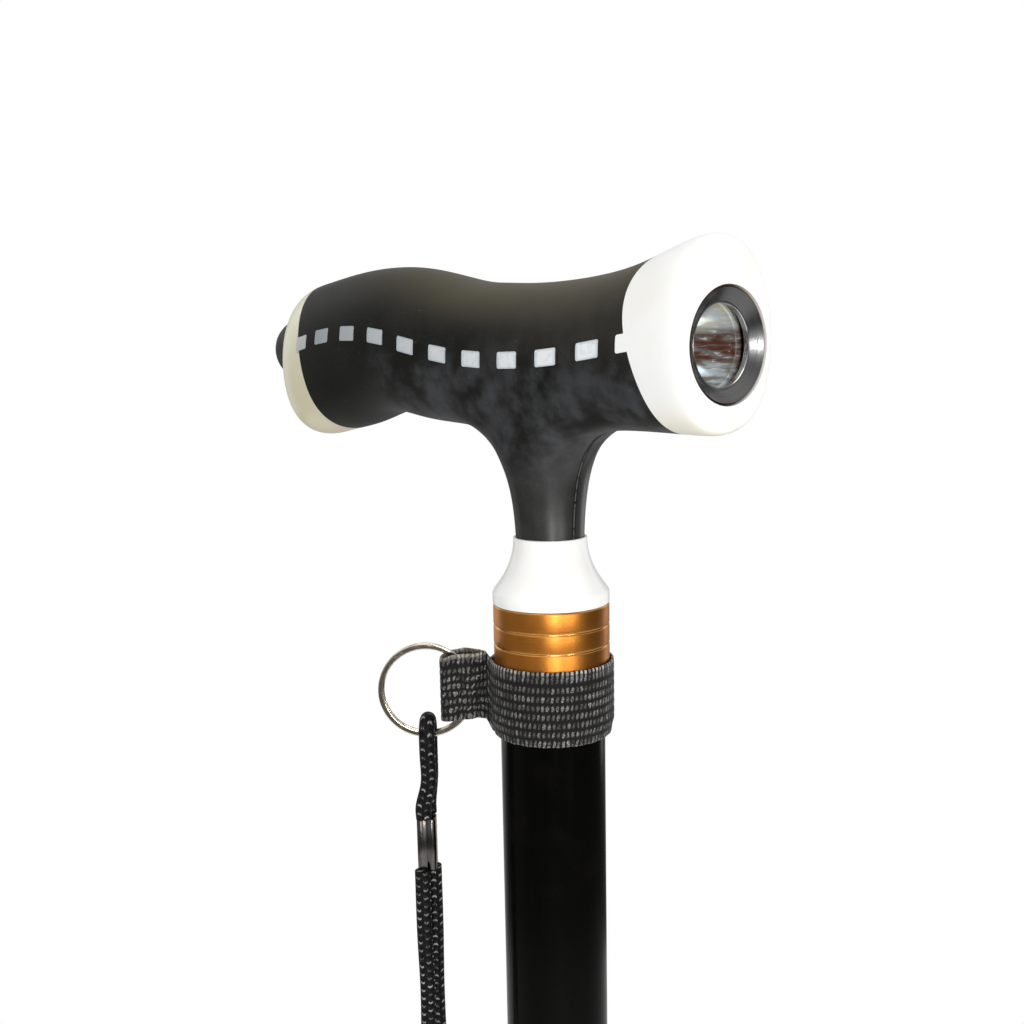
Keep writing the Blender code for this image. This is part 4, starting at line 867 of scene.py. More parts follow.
@dataclass(frozen=True)
class BraidedCord(Finish):
    """Braided cord, its UV map counted in strands round it and along it."""

    name: str = "braided_cord"
    black: Colour = tone(7, 7, 8)
    yarn: Colour = tone(24, 24, 25)
    highlight_fleck: Colour = tone(150, 149, 147)
    bow: float = 1.5
    map_name: str = "braid"

    def paint(self, graph: Graph) -> bpy.types.NodeSocket:
        """Columns of bowed strands, by turns half a pitch apart, with thin painted highlights on their
        crowns.

        Args:
            graph: the material's graph.

        Returns:
            The shader.
        """
        uv = graph.pattern(self.map_name)
        round_it, along, _ = graph.parts(uv)
        share = round_it.apply("FRACT")
        odd = (round_it.apply("FLOOR") * 0.5).apply("FRACT")
        aside = share - 0.5
        step = along - aside * aside * self.bow + odd
        strand = (step.apply("FRACT") * math.pi).apply("SINE")
        swell = (share * math.pi).apply("SINE")
        crown = strand * swell ** 0.5
        hair = graph.noise((0.12, 0.3, 1.0), 2.0, uv)
        chance = graph.cells(round_it, step)
        colour = graph.mixed((crown * (hair + 0.35)).rise(0.35, 1.0), self.black, self.yarn)
        # Painted highlights: thin pale marks on the strands' crowns.
        streak = strand.rise(0.88, 0.99) * swell.rise(0.3, 0.8) * (chance * 0.7 + hair.rise(0.35, 0.65) * 0.5)
        colour = graph.mixed(streak.rise(0.1, 1.0), colour, self.highlight_fleck)
        normal = graph.bump(crown, 0.22 * MM, 0.9)
        normal = graph.bump(hair, 0.03 * MM, 0.5, normal)
        return graph.surface({"Base Color": colour, "Roughness": hair * 0.2 + 0.5, "Normal": normal,
                              "Specular IOR Level": 0.15})


RUBBER = GripRubber()
PLAIN_RUBBER = PlainRubber()
WHITE = WhitePlastic()
GREY_METAL = TurnedMetal()
NICKEL = PlatedMetal("nickel_plate", tone(222, 212, 194), tone(150, 124, 92), 0.12, 2.4 * MM)
CRIMPED = PlatedMetal("crimped_steel", tone(98, 96, 94), tone(98, 74, 46), 0.16, 1.4 * MM)
STEEL = PlatedMetal("bright_steel", tone(206, 205, 202), tone(150, 148, 144), 0.2)
CUP = CupChrome()
BLACK = BlackPlastic()


# Modelling


def in_place(x: float, level: float, axis: Axis) -> Vector:
    """Stands a profile's point up from its axis.

    Args:
        x: the distance from the axis.
        level: the height on the stick, or the distance along the torch.
        axis: what the profile is turned about.

    Returns:
        The point.
    """
    return Vector((x, 0.0, level)) if axis is Axis.STICK else Vector((level, 0.0, TORCH_LEVEL + x))


def arc(centre: Spot, reach: Spot, first: float, last: float, steps: int) -> list[Spot]:
    """Points on an arc of a circle or an ellipse.

    Args:
        centre: its centre.
        reach: its half axes.
        first: the angle of its first point, in degrees.
        last: the angle of its last point.
        steps: how many parts it has.

    Returns:
        The points, one more than the parts.
    """
    points = []
    for k in range(steps + 1):
        angle = math.radians(first + (last - first) * k / steps)
        points.append((centre[0] + reach[0] * math.cos(angle), centre[1] + reach[1] * math.sin(angle)))
    return points


def rounded_box(half: float, high: float, corner: float, steps: int) -> list[Spot]:
    """The outline of a box with round corners.

    Args:
        half: half its width.
        high: half its height.
        corner: the radius of its corners.
        steps: how many points each corner has.

    Returns:
        The outline's points.
    """
    outline = []
    for quarter, (side, up) in enumerate(((1, 1), (-1, 1), (-1, -1), (1, -1))):
        for k in range(steps):
            angle = math.pi / 2 * (quarter + k / (steps - 1))
            outline.append((side * (half - corner) + corner * math.cos(angle),
                            up * (high - corner) + corner * math.sin(angle)))
    return outline


def run_along(line: np.ndarray) -> np.ndarray:
    """The way from a line's first point to each of its points."""
    return np.concatenate(([0.0], np.cumsum(np.linalg.norm(np.diff(line, axis=0), axis=1))))


def tube_faces(rings: int, sides: int) -> list[list[int]]:
    """The faces of a closed tube whose points stand in rings.

    Args:
        rings: how many rings of points it has.
        sides: how many points each ring has.

    Returns:
        The faces of its side, ring by ring, and then of both ends.
    """
    faces = []
    for k in range(rings - 1):
        for j in range(sides):
            after = (j + 1) % sides
            faces.append([k * sides + j, k * sides + after, (k + 1) * sides + after, (k + 1) * sides + j])
    last = (rings - 1) * sides
    return faces + [list(range(sides))[::-1], list(range(last, last + sides))]


class Bench:
    """What a modeller does by hand, as short calls."""

    @staticmethod
    def pick(thing: bpy.types.Object) -> None:
        """Selects one object and nothing else.

        Args:
            thing: the object.
        """
        bpy.ops.object.select_all(action="DESELECT")
        thing.select_set(True)
        bpy.context.view_layer.objects.active = thing

    @staticmethod
    def from_faces(name: str, points: Sequence[Any], faces: Sequence[Sequence[int]]) -> bpy.types.Object:
        """An object from points and faces, for forms that no operator gives.

        Args:
            name: its name.
            points: its points.
            faces: its faces, each by the numbers of its points.

        Returns:
            The object.
        """
        mesh = bpy.data.meshes.new(name)
        mesh.from_pydata([tuple(point) for point in points], [], [tuple(face) for face in faces])
        mesh.update()
        made = bpy.data.objects.new(name, mesh)
        bpy.context.scene.collection.objects.link(made)
        return made

    @staticmethod
    def from_form(name: str, form: bmesh.types.BMesh) -> bpy.types.Object:
        """An object from an edited form, which is then given up.

        Args:
            name: its name.
            form: the form.

        Returns:
            The object.
        """
        mesh = bpy.data.meshes.new(name)
        form.to_mesh(mesh)
        form.free()
        made = bpy.data.objects.new(name, mesh)
        bpy.context.scene.collection.objects.link(made)
        return made

    @classmethod
    def outward(cls, thing: bpy.types.Object) -> bpy.types.Object:
        """Merges doubles and turns all faces outwards.

        Args:
            thing: the object.

        Returns:
            The object.
        """
        cls.pick(thing)
        bpy.ops.object.mode_set(mode="EDIT")
        bpy.ops.mesh.select_all(action="SELECT")
        bpy.ops.mesh.remove_doubles(threshold=0.002 * MM)
        bpy.ops.mesh.normals_make_consistent(inside=False)
        bpy.ops.object.mode_set(mode="OBJECT")
        return thing

    @classmethod
    def modify(cls, thing: bpy.types.Object, kind: str, **settings: Any) -> bpy.types.Object:
        """Adds a modifier, sets it and applies it.

        Args:
            thing: the object.
            kind: the modifier's type.
            **settings: the modifier's settings.

        Returns:
            The object.
        """
        cls.pick(thing)
        step = thing.modifiers.new(kind.lower(), kind)
        for key, value in settings.items():
            setattr(step, key, value)
        bpy.ops.object.modifier_apply(modifier=step.name)
        return thing

    @classmethod
    def smooth(cls, thing: bpy.types.Object, degrees: float = 32.0) -> bpy.types.Object:
        """Shades smooth across gentle edges.

        Args:
            thing: the object.
            degrees: the sharpest edge that is shaded smooth.

        Returns:
            The object.
        """
        cls.pick(thing)
        bpy.ops.object.shade_smooth_by_angle(angle=math.radians(degrees))
        return thing

    @classmethod
    def combine(cls, thing: bpy.types.Object, tool: bpy.types.Object,
                operation: str = "DIFFERENCE") -> bpy.types.Object:
        """Cuts an object with another one, or intersects them, and takes the other one away.

        Args:
            thing: what is cut.
            tool: what cuts it.
            operation: the boolean operation.

        Returns:
            What was cut.
        """
        cls.modify(thing, "BOOLEAN", operation=operation, object=tool, solver="MANIFOLD")
        bpy.data.objects.remove(tool)
        return thing

    @classmethod
    def turned(cls, name: str, profile: Sequence[Spot], axis: Axis, steps: int = 96,
               closed: bool = False) -> bpy.types.Object:
        """Turns a profile, drawn point by point, about an axis.

        Args:
            name: the piece's name.
            profile: points in millimetres, as distance from the axis and place along it.
            axis: what it is turned about.
            steps: faces round the piece.
            closed: whether the profile's last point joins its first.

        Returns:
            The turned piece.
        """
        points = [in_place(x * MM, level * MM, axis) for x, level in profile]
        if closed:
            points.append(points[0])
        bpy.ops.object.select_all(action="DESELECT")
        bpy.ops.mesh.primitive_plane_add(size=MM, location=points[0])
        made = bpy.context.active_object
        made.name = name
        made.data.name = name
        bpy.ops.object.transform_apply(location=True, rotation=True, scale=True)
        bpy.ops.object.mode_set(mode="EDIT")
        bpy.ops.mesh.select_all(action="SELECT")
        bpy.ops.mesh.merge(type="CENTER")
        for before, after in zip(points, points[1:]):
            bpy.ops.mesh.extrude_region_move(TRANSFORM_OT_translate={"value": after - before})
        bpy.ops.mesh.select_all(action="SELECT")
        if axis is Axis.STICK:
            centre, line = (0.0, 0.0, 0.0), (0.0, 0.0, 1.0)
        else:
            centre, line = (0.0, 0.0, TORCH_LEVEL), (1.0, 0.0, 0.0)
        bpy.ops.mesh.spin(steps=steps, angle=2 * math.pi, center=centre, axis=line)
        bpy.ops.object.mode_set(mode="OBJECT")
        return cls.outward(made)

    @classmethod
    def broken(cls, thing: bpy.types.Object, width: float, segments: int = 2,
               degrees: float = 35.0) -> bpy.types.Object:
        """Rounds an object's sharp edges."""
        return cls.modify(thing, "BEVEL", width=width, segments=segments, limit_method="ANGLE",
                          angle_limit=math.radians(degrees))

    @classmethod
    def prism(cls, name: str, outline: Sequence[Vector], way: Vector) -> bpy.types.Object:
        """A closed outline moved along a way.

        Args:
            name: the object's name.
            outline: the outline's points, in one plane.
            way: how far it is moved.

        Returns:
            The closed form.
        """
        count = len(outline)
        points = list(outline) + [point + way for point in outline]
        faces = [[k, (k + 1) % count, (k + 1) % count + count, k + count] for k in range(count)]
        faces += [list(range(count))[::-1], list(range(count, 2 * count))]
        return cls.outward(cls.from_faces(name, points, faces))

    @classmethod
    def drill(cls, thing: bpy.types.Object, radius: float, start: Vector, end: Vector,
              sides: int = 40) -> bpy.types.Object:
        """Drills a round hole.

        Args:
            thing: the object.
            radius: the hole's radius.
            start: where the drill starts.
            end: where it stops.
            sides: how many sides the hole has.

        Returns:
            The object.
        """
        way = end - start
        turn = way.to_track_quat("Z", "Y")
        angles = [2 * math.pi * k / sides for k in range(sides)]
        rim = [Vector((radius * math.cos(angle), radius * math.sin(angle), 0.0)) for angle in angles]
        return cls.combine(thing, cls.prism("drill", [start + turn @ spot for spot in rim], way))


def deliver(piece: bpy.types.Object, body: Body, slot: Slot, nodes: Sequence[str], *finishes: Finish) -> None:
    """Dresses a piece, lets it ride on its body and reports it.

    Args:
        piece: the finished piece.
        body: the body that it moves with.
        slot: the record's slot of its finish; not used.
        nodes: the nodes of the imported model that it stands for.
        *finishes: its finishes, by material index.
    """
    slots = piece.data.materials
    while len(slots) < len(finishes):
        slots.append(None)
    while len(slots) > len(finishes):
        slots.pop()
    for index, finish in enumerate(finishes):
        slots[index] = finish.material()
    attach(piece, body.value)
    if nodes:
        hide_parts(*nodes)
    LOG.info("%s: %d faces, on %s", piece.name, len(piece.data.polygons), body.value)


def flex(node: str, name: str, bodies: tuple[Body, Body],
         levels: Sequence[float] = ()) -> None:
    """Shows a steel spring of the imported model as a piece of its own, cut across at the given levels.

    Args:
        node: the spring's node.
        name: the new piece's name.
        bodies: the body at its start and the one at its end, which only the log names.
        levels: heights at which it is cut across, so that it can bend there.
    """
    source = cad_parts[node]
    form = bmesh.new()
    form.from_mesh(source.data)
    form.transform(source.matrix_world)
    for level in levels:
        bmesh.ops.bisect_plane(form, geom=form.verts[:] + form.edges[:] + form.faces[:],
                               plane_co=(0.0, 0.0, level), plane_no=(0.0, 0.0, 1.0))
    mesh = bpy.data.meshes.new(name)
    form.to_mesh(mesh)
    form.free()
    piece = bpy.data.objects.new(name, mesh)
    bpy.context.collection.objects.link(piece)
    mesh.materials.clear()
    mesh.materials.append(STEEL.material())
    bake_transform(Bench.smooth(piece, 40))
    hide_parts(node)
    LOG.info("%s: %d faces, between %s and %s", name, len(mesh.polygons),
             bodies[0].value, bodies[1].value)


def dress(finish: Finish, *nodes: str) -> None:
    """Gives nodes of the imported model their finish.

    Args:
        finish: the finish.
        *nodes: the nodes' names.
    """
    for node in nodes:
        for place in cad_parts[node].material_slots:
            place.material = finish.material()
        LOG.info("%s: %s", node, finish.name)


def smooth_route(points: Sequence[Any], count: int) -> np.ndarray:
    """Evenly spaced points on a smooth curve.

    Args:
        points: the route's own points.
        count: how many points the curve gets.

    Returns:
        The points, one in each row.
    """
    knots = np.array([tuple(point) for point in points], dtype=float)
    before = np.vstack((2 * knots[0] - knots[1], knots, 2 * knots[-1] - knots[-2]))
    fine = []
    for k in range(len(knots) - 1):
        a, b, c, d = before[k:k + 4]
        for t in np.linspace(0.0, 1.0, 24, endpoint=False):
            fine.append(0.5 * (2 * b + (c - a) * t + (2 * a - 5 * b + 4 * c - d) * t ** 2
                               + (3 * b - a - 3 * c + d) * t ** 3))
    fine.append(knots[-1])
    line = np.array(fine)
    run = run_along(line)
    steps = np.linspace(0.0, run[-1], count)
    return np.stack([np.interp(steps, run, line[:, k]) for k in range(3)], axis=1)


@dataclass(frozen=True)
class Section:
    """An upright slice of the handle, in millimetres."""

    x: float
    top: float
    bottom: float
    half_width: float


@dataclass(frozen=True)
class NeckRing:
    """A level slice of the neck, in millimetres."""

    level: float
    half_length: float
    half_width: float
    middle: float


def handle_sections() -> tuple[Section, ...]:
    """The slices from the rear face to the head's front.

    Returns:
        The slices.
    """
    return (
        Section(-87.4, 58.0, 42.5, 5.0), Section(-86.8, 63.4, 35.5, 8.9), Section(-84.8, 65.8, 31.9, 10.8),
        Section(-80.0, 67.3, 30.7, 12.0), Section(-73.0, 68.1, 32.5, 12.6), Section(-61.5, 69.6, 34.0, 13.0),
        Section(-49.0, 70.2, 38.9, 13.2), Section(-36.0, 69.3, 35.9, 13.2), Section(-19.0, 65.3, 35.8, 13.2),
        Section(-12.0, 65.0, 35.0, 13.3), Section(-2.5, 64.4, 35.0, 13.4), Section(7.0, 64.5, 35.0, 13.5),
        Section(16.5, 65.0, 36.2, 13.6), Section(28.5, 66.5, 36.4, 13.6), Section(40.5, 70.8, 36.1, 13.5),
        Section(45.2, 71.0, 36.1, 13.0), Section(46.6, 69.6, 37.3, 12.0), Section(46.7, 62.0, 44.0, 7.2),
    )


def neck_rings() -> tuple[NeckRing, ...]:
    """The neck's slices, downwards."""
    return (NeckRing(33.6, 13.4, 9.8, -1.0), NeckRing(29.5, 10.3, 9.1, -0.7), NeckRing(24.5, 8.0, 8.0, -0.2),
            NeckRing(16.0, 6.95, 6.95, 0.0), NeckRing(3.0, 6.95, 6.95, 0.0))


@dataclass
class Handle:
    """The white core with its squares and the rubber over it, cut from one smooth form."""

    sections: tuple[Section, ...] = field(default_factory=handle_sections)
    rings: tuple[NeckRing, ...] = field(default_factory=neck_rings)
    around: int = 16
    root: tuple[int, int] = (8, 12)
    rubber: float = 1.8 * MM
    joint: float = 0.05 * MM
    core_foot: float = 8.2 * MM
    rod_hole: float = 3.3 * MM
    rod_depth: float = 43.7 * MM
    rear_ring: float = -60 * MM
    bore: tuple[Spot, ...] = (
        (0.0, -93.0), (7.9, -93.0), (7.9, -67.1), (5.9, -67.1), (5.9, 31.2), (9.16, 31.2), (9.16, 34.8),
        (10.42, 34.8), (10.42, 52.0), (0.0, 52.0),
    )
    sleeve_foot: float = 13.75 * MM
    front_edge: tuple[Spot, ...] = ((36.0, 72.0), (26.5, 63.0), (39.3, 48.0), (38.3, 33.0))
    rear_edge: tuple[Spot, ...] = ((-81.5, 72.0), (-71.0, 50.0), (-73.5, 42.0), (-67.5, 29.5))
    edge_steps: int = 48
    square_first: float = -74.49
    square_pitch: float = 11.07
    square_length: float = 5.7
    square_height: float = 3.2
    square_corner: float = 0.4
    tab_more: float = 1.1
    square_levels: tuple[float, ...] = (53.2, 54.9, 55.4, 54.65, 52.6, 50.8, 49.75, 49.55, 50.05, 51.3, 52.8)
    cut_half: float = 20 * MM
    fine: int = 3

    def spread(self) -> float:
        """How far the cage stands out from a round section."""
        return 3 / (2 + math.cos(2 * math.pi / self.around))

    def section_loop(self, section: Section, inset: float) -> list[Vector]:
        """The cage's points round one slice, from the top towards +Y.

        Args:
            section: the slice.
            inset: how far it is drawn in.

        Returns:
            The points.
        """
        middle = (section.top + section.bottom) / 2 - 0.6
        points = []
        for k in range(self.around):
            angle = 2 * math.pi * k / self.around
            side, rise = math.sin(angle), math.cos(angle)
            power = 1.0 if rise >= 0 else 0.86
            reach = (section.top - middle) if rise >= 0 else (middle - section.bottom)
            across = math.copysign(abs(side) ** power, side) * (section.half_width * MM - inset)
            height = math.copysign(abs(rise) ** power, rise) * (reach * MM - inset)
            level = COLLAR_LEVEL + middle * MM + height * self.spread()
            points.append(Vector((section.x * MM, across * self.spread(), level)))
        return points

    def neck_loop(self, ring: NeckRing, inset: float, level: float) -> list[Vector]:
        """The cage's points round one slice of the neck, from the rear towards +Y.

        Args:
            ring: the slice.
            inset: how far it is drawn in.
            level: its level, from the collar's lower edge.

        Returns:
            The points.
        """
        points = []
        for k in range(self.around):
            angle = math.pi - 2 * math.pi * k / self.around
            x = ring.middle * MM + (ring.half_length * MM - inset) * self.spread() * math.cos(angle)
            y = (ring.half_width * MM - inset) * self.spread() * math.sin(angle)
            points.append(Vector((x, y, COLLAR_LEVEL + level)))
        return points

    def form(self, name: str, inset: float, levels: int, foot: float | None = None) -> bpy.types.Object:
        """The handle's smooth form, neck included.

        Args:
            name: the object's name.
            inset: how far it is drawn in.
            levels: how often its cage is divided.
            foot: the neck's lower end, its last ring's if left out.

        Returns:
            The form as a closed mesh.
        """
        shape = bmesh.new()
        slices = [[shape.verts.new(point) for point in self.section_loop(section, inset)]
                  for section in self.sections]
        start, stop = self.root
        quarter, bottom = self.around // 8, self.around // 2
        open_side = range(bottom - quarter, bottom + quarter)
        for k, (first, second) in enumerate(zip(slices, slices[1:])):
            for j in range(self.around):
                if not (start <= k < stop and j in open_side):
                    after = (j + 1) % self.around
                    shape.faces.new((first[j], first[after], second[after], second[j]))
        shape.faces.new(slices[0])
        shape.faces.new(slices[-1])
        rear, front, between = slices[start], slices[stop], range(start + 1, stop)
        left, right = bottom - quarter, bottom + quarter
        rim = [rear[j] for j in range(bottom, left - 1, -1)] + [slices[k][left] for k in between]
        rim += [front[j] for j in range(left, right + 1)] + [slices[k][right] for k in reversed(between)]
        rim += [rear[j] for j in range(right, bottom, -1)]
        for ring in self.rings:
            level = ring.level * MM + inset
            if foot is not None and ring is self.rings[-1]:
                level = foot
            loop = [shape.verts.new(point) for point in self.neck_loop(ring, inset, level)]
            for k in range(self.around):
                after = (k + 1) % self.around
                shape.faces.new((rim[k], rim[after], loop[after], loop[k]))
            rim = loop
        shape.faces.new(rim)
        bmesh.ops.recalc_face_normals(shape, faces=shape.faces)
        return Bench.modify(Bench.from_form(name, shape), "SUBSURF", levels=levels, render_levels=levels)

    def edge_block(self, corners: Sequence[Spot], shift: float, far: float) -> bpy.types.Object:
        """A block that covers the handle from one edge of the rubber to beyond its end.

        Args:
            corners: the four points that steer the edge's curve, from the top down.
            shift: how far the edge is moved along the handle.
            far: where the block ends.

        Returns:
            The block.
        """
        first, second, third, last = (Vector(corner) * MM for corner in corners)
        outline = []
        for k in range(self.edge_steps + 1):
            t = k / self.edge_steps
            s = 1 - t
            spot = first * s ** 3 + second * 3 * t * s ** 2 + third * 3 * t ** 2 * s + last * t ** 3
            outline.append(Vector((spot.x + shift, -self.cut_half, COLLAR_LEVEL + spot.y)))
        outline.append(Vector((far, -self.cut_half, outline[-1].z)))
        outline.append(Vector((far, -self.cut_half, outline[0].z)))
        return Bench.prism("edge_block", outline, Vector((0.0, 2 * self.cut_half, 0.0)))

    def square_frame(self, k: int) -> tuple[float, float, float]:
        """Where one square stands.

        Args:
            k: its number, from the rear.

        Returns:
            Its middle along the handle, its level and its slope.
        """
        last = len(self.square_levels) - 1
        before, after = max(k - 1, 0), min(k + 1, last)
        rise = self.square_levels[after] - self.square_levels[before]
        slope = rise / ((after - before) * self.square_pitch)
        x = (self.square_first + k * self.square_pitch) * MM
        return x, COLLAR_LEVEL + self.square_levels[k] * MM, slope

    def square_bar(self, k: int, grow: float) -> bpy.types.Object:
        """A bar through the handle for one pair of squares, with round corners.

        Args:
            k: the squares' number, from the rear.
            grow: how far the bar stands out past the squares.

        Returns:
            The bar.
        """
        x, level, slope = self.square_frame(k)
        half, high = self.square_length * MM / 2 + grow, self.square_height * MM / 2 + grow
        if k in (0, len(self.square_levels) - 1):
            half += self.tab_more * MM
        outline = [Vector((x + along, -self.cut_half, level + rise + slope * along))
                   for along, rise in rounded_box(half, high, self.square_corner * MM + grow, 6)]
        return Bench.prism("square_bar", outline, Vector((0.0, 2 * self.cut_half, 0.0)))

    def rubber_space(self, gap: float) -> bpy.types.Object:
        """The space that the rubber fills.

        Args:
            gap: how far it is drawn in on every side.

        Returns:
            The space as a closed form.
        """
        space = self.form("rubber_space", -1.0 * MM, 2)
        Bench.combine(space, self.form("inside", self.rubber - gap, 2, self.core_foot))
        Bench.combine(space, self.edge_block(self.front_edge, -gap, 60 * MM))
        Bench.combine(space, self.edge_block(self.rear_edge, gap, -100 * MM))
        for k in range(len(self.square_levels)):
            Bench.combine(space, self.square_bar(k, gap))
        return space

    def build(self) -> None:
        """Cuts the core and the rubber from the form."""
        core = self.form("core_body", 0.0, self.fine)
        Bench.combine(core, self.rubber_space(0.0))
        Bench.combine(core, Bench.turned("torch_bore", self.bore, Axis.TORCH, 120))
        top = Vector((0.0, 0.0, COLLAR_LEVEL + self.rod_depth))
        Bench.drill(core, self.rod_hole, Vector((0.0, 0.0, COLLAR_LEVEL)), top)
        self.mark_core(core)
        Bench.smooth(core)
        deliver(core, Body.HANDLE, Slot.WHITE, ["handle_core"], WHITE, ShadedSquarePlastic(), ShadedRearPlastic())

        grip = self.form("grip_rubber", 0.0, self.fine)
        Bench.combine(grip, self.rubber_space(self.joint), "INTERSECT")
        low = COLLAR_LEVEL + self.sleeve_foot
        corners = ((-1, -1), (1, -1), (1, 1), (-1, 1))
        outline = [Vector((x * self.cut_half, y * self.cut_half, low)) for x, y in corners]
        Bench.combine(grip, Bench.prism("foot_block", outline, Vector((0.0, 0.0, -0.03))))
        Bench.smooth(grip)
        deliver(grip, Body.HANDLE, Slot.RUBBER, ["grip_sleeve"], RUBBER)

    def mark_core(self, core: bpy.types.Object) -> None:
        """Marks the core's squares and its rear ring for their painted-shade finishes.

        Args:
            core: the finished core.
        """
        mesh = core.data
        squares = mesh.uv_layers.new(name=ShadedSquarePlastic().map_name)
        last = len(self.square_levels) - 1
        for face in mesh.polygons:
            # The rear ring takes the painted-shade copy of the white plastic.
            if face.center.x < self.rear_ring:
                face.material_index = 2
            k = round((face.center.x / MM - self.square_first) / self.square_pitch)
            if not 0 < k < last:
                continue
            x, level, slope = self.square_frame(k)
            along = face.center.x - x
            rise = face.center.z - level - slope * along
            if (abs(face.center.y) < 9 * MM or abs(along) > 2.95 * MM or abs(rise) > 1.75 * MM
                    or abs(face.normal.y) < 0.5):
                continue
            face.material_index = 1
            for loop in face.loop_indices:
                spot = mesh.vertices[mesh.loops[loop].vertex_index].co
                along = spot.x - x
                rise = spot.z - level - slope * along
                squares.data[loop].uv = (along / (self.square_length * MM / 2),
                                         rise / (self.square_height * MM / 2))


@dataclass
class Torch:
    """The bezel ring, lens, cup, lamp and tail button, and the hidden pieces of the torch."""

    bezel_radius: float = 10.16
    bezel_back: float = 36.3
    bezel_front: float = 46.3
    sight_radius: float = 7.3
    cup_steps: int = 18

    def build(self) -> None:
        """Builds and dresses the torch, from its front to its tail."""
        self.build_bezel()
        self.build_lens()
        self.build_cup()
        self.build_lamp()
        self.build_button()
        dress(PLAIN_RUBBER, "bezel_seal")
        dress(BoardLaminate("board_laminate"), "lamp_board")
        dress(STEEL, "front_contact", "rear_contact")
        dress(FoilWrap("cell_wrapper"), "cell_front", "cell_rear")
        dress(BLACK, "switch_body")
        dress(WHITE, "switch_plunger")

    def build_bezel(self) -> None:
        """The metal ring with its sloped face and an inner lip that its finish paints with a highlight."""
        outer, back, front = self.bezel_radius, self.bezel_back, self.bezel_front
        lip = self.sight_radius
        profile = [(outer - 1.0, back), (outer, back), (outer, front - 0.18), (outer - 0.08, front - 0.04),
                   (outer - 0.26, front), (outer - 0.42, front - 0.1), (lip + 0.34, front - 1.42),
                   (lip + 0.22, front - 1.36), (lip + 0.08, front - 1.4), (lip, front - 1.52), (lip, 43.9),
                   (outer - 1.0, 43.9)]
        ring = Bench.turned("bezel_metal", profile, Axis.TORCH, 128, True)
        Bench.smooth(ring, 22)
        deliver(ring, Body.BEZEL, Slot.GREY_METAL, ["bezel_ring"], GREY_METAL)

    def build_lens(self) -> None:
        """The clear disc, slightly domed."""
        radius = self.bezel_radius - 1.3
        face = [(radius * k / 12, 43.62 - 0.22 * (k / 12) ** 2) for k in range(13)]
        disc = Bench.turned("lens_disc", face + [(radius, 42.45), (0.0, 42.45)], Axis.TORCH, 96)
        deliver(Bench.smooth(disc), Body.HANDLE, Slot.LENS, ["lens"], ClearDisc("clear_disc"))

    def build_cup(self) -> None:
        """The bright bowl, with its bead at the mouth."""
        rim, throat, front, back = 8.86, 3.2, 42.1, 33.0
        mouth = rim - 0.7
        inside = [(mouth, front), (mouth - 0.12, front - 0.5), (mouth - 0.3, front - 0.62)]
        for k in range(1, self.cup_steps + 1):
            share = k / self.cup_steps
            reach = math.sqrt((mouth - 0.3) ** 2 * (1 - share) + throat ** 2 * share)
            inside.append((reach, front - 0.62 - (front - back - 1.42) * share))
        outside = [(throat, back), (throat + 2.2, back), (6.66, (front + back) / 2), (rim, front - 1.6),
                   (rim, front)]
        cup = Bench.turned("reflector_cup", outside + inside, Axis.TORCH, 96, True)
        deliver(Bench.smooth(Bench.broken(cup, 0.06 * MM), 30), Body.HANDLE, Slot.CUP, ["reflector"], CUP)

    def build_lamp(self) -> None:
        """The lamp's base with its dome."""
        base, dome = 33.9, 1.6
        profile = [(0.0, 33.02), (2.5, 33.02), (2.5, base)]
        profile += arc((0.0, base), (1.9, dome), 0.0, 90.0, 10)
        lamp = Bench.turned("lamp_body", profile, Axis.TORCH, 48)
        deliver(Bench.smooth(Bench.broken(lamp, 0.06 * MM)), Body.HANDLE, Slot.LAMP, ["lamp_led"],
                LampDome("lamp_dome"))

    def build_button(self) -> None:
        """The domed rubber button in the rear end."""
        tip, side = -95.5, 7.6
        profile = [(0.0, tip)]
        for k in range(1, 13):
            share = k / 12
            profile.append((side * share, tip + 3.1 * (1 - math.sqrt(max(1 - share ** 3.2, 0.0)))))
        profile += [(side, -85.0), (side - 0.25, -84.7), (side - 0.25, -84.2), (side, -83.9), (side, -77.7),
                    (6.1, -77.7), (6.1, -91.9), (2.0, -92.3), (2.0, -87.3), (0.0, -87.3)]
        button = Bench.turned("tail_dome", profile, Axis.TORCH, 72)
        deliver(Bench.smooth(button), Body.BUTTON, Slot.RUBBER, ["tail_button"], PLAIN_RUBBER)
        flex("switch_spring", "switch_coil", (Body.BUTTON, Body.HANDLE))


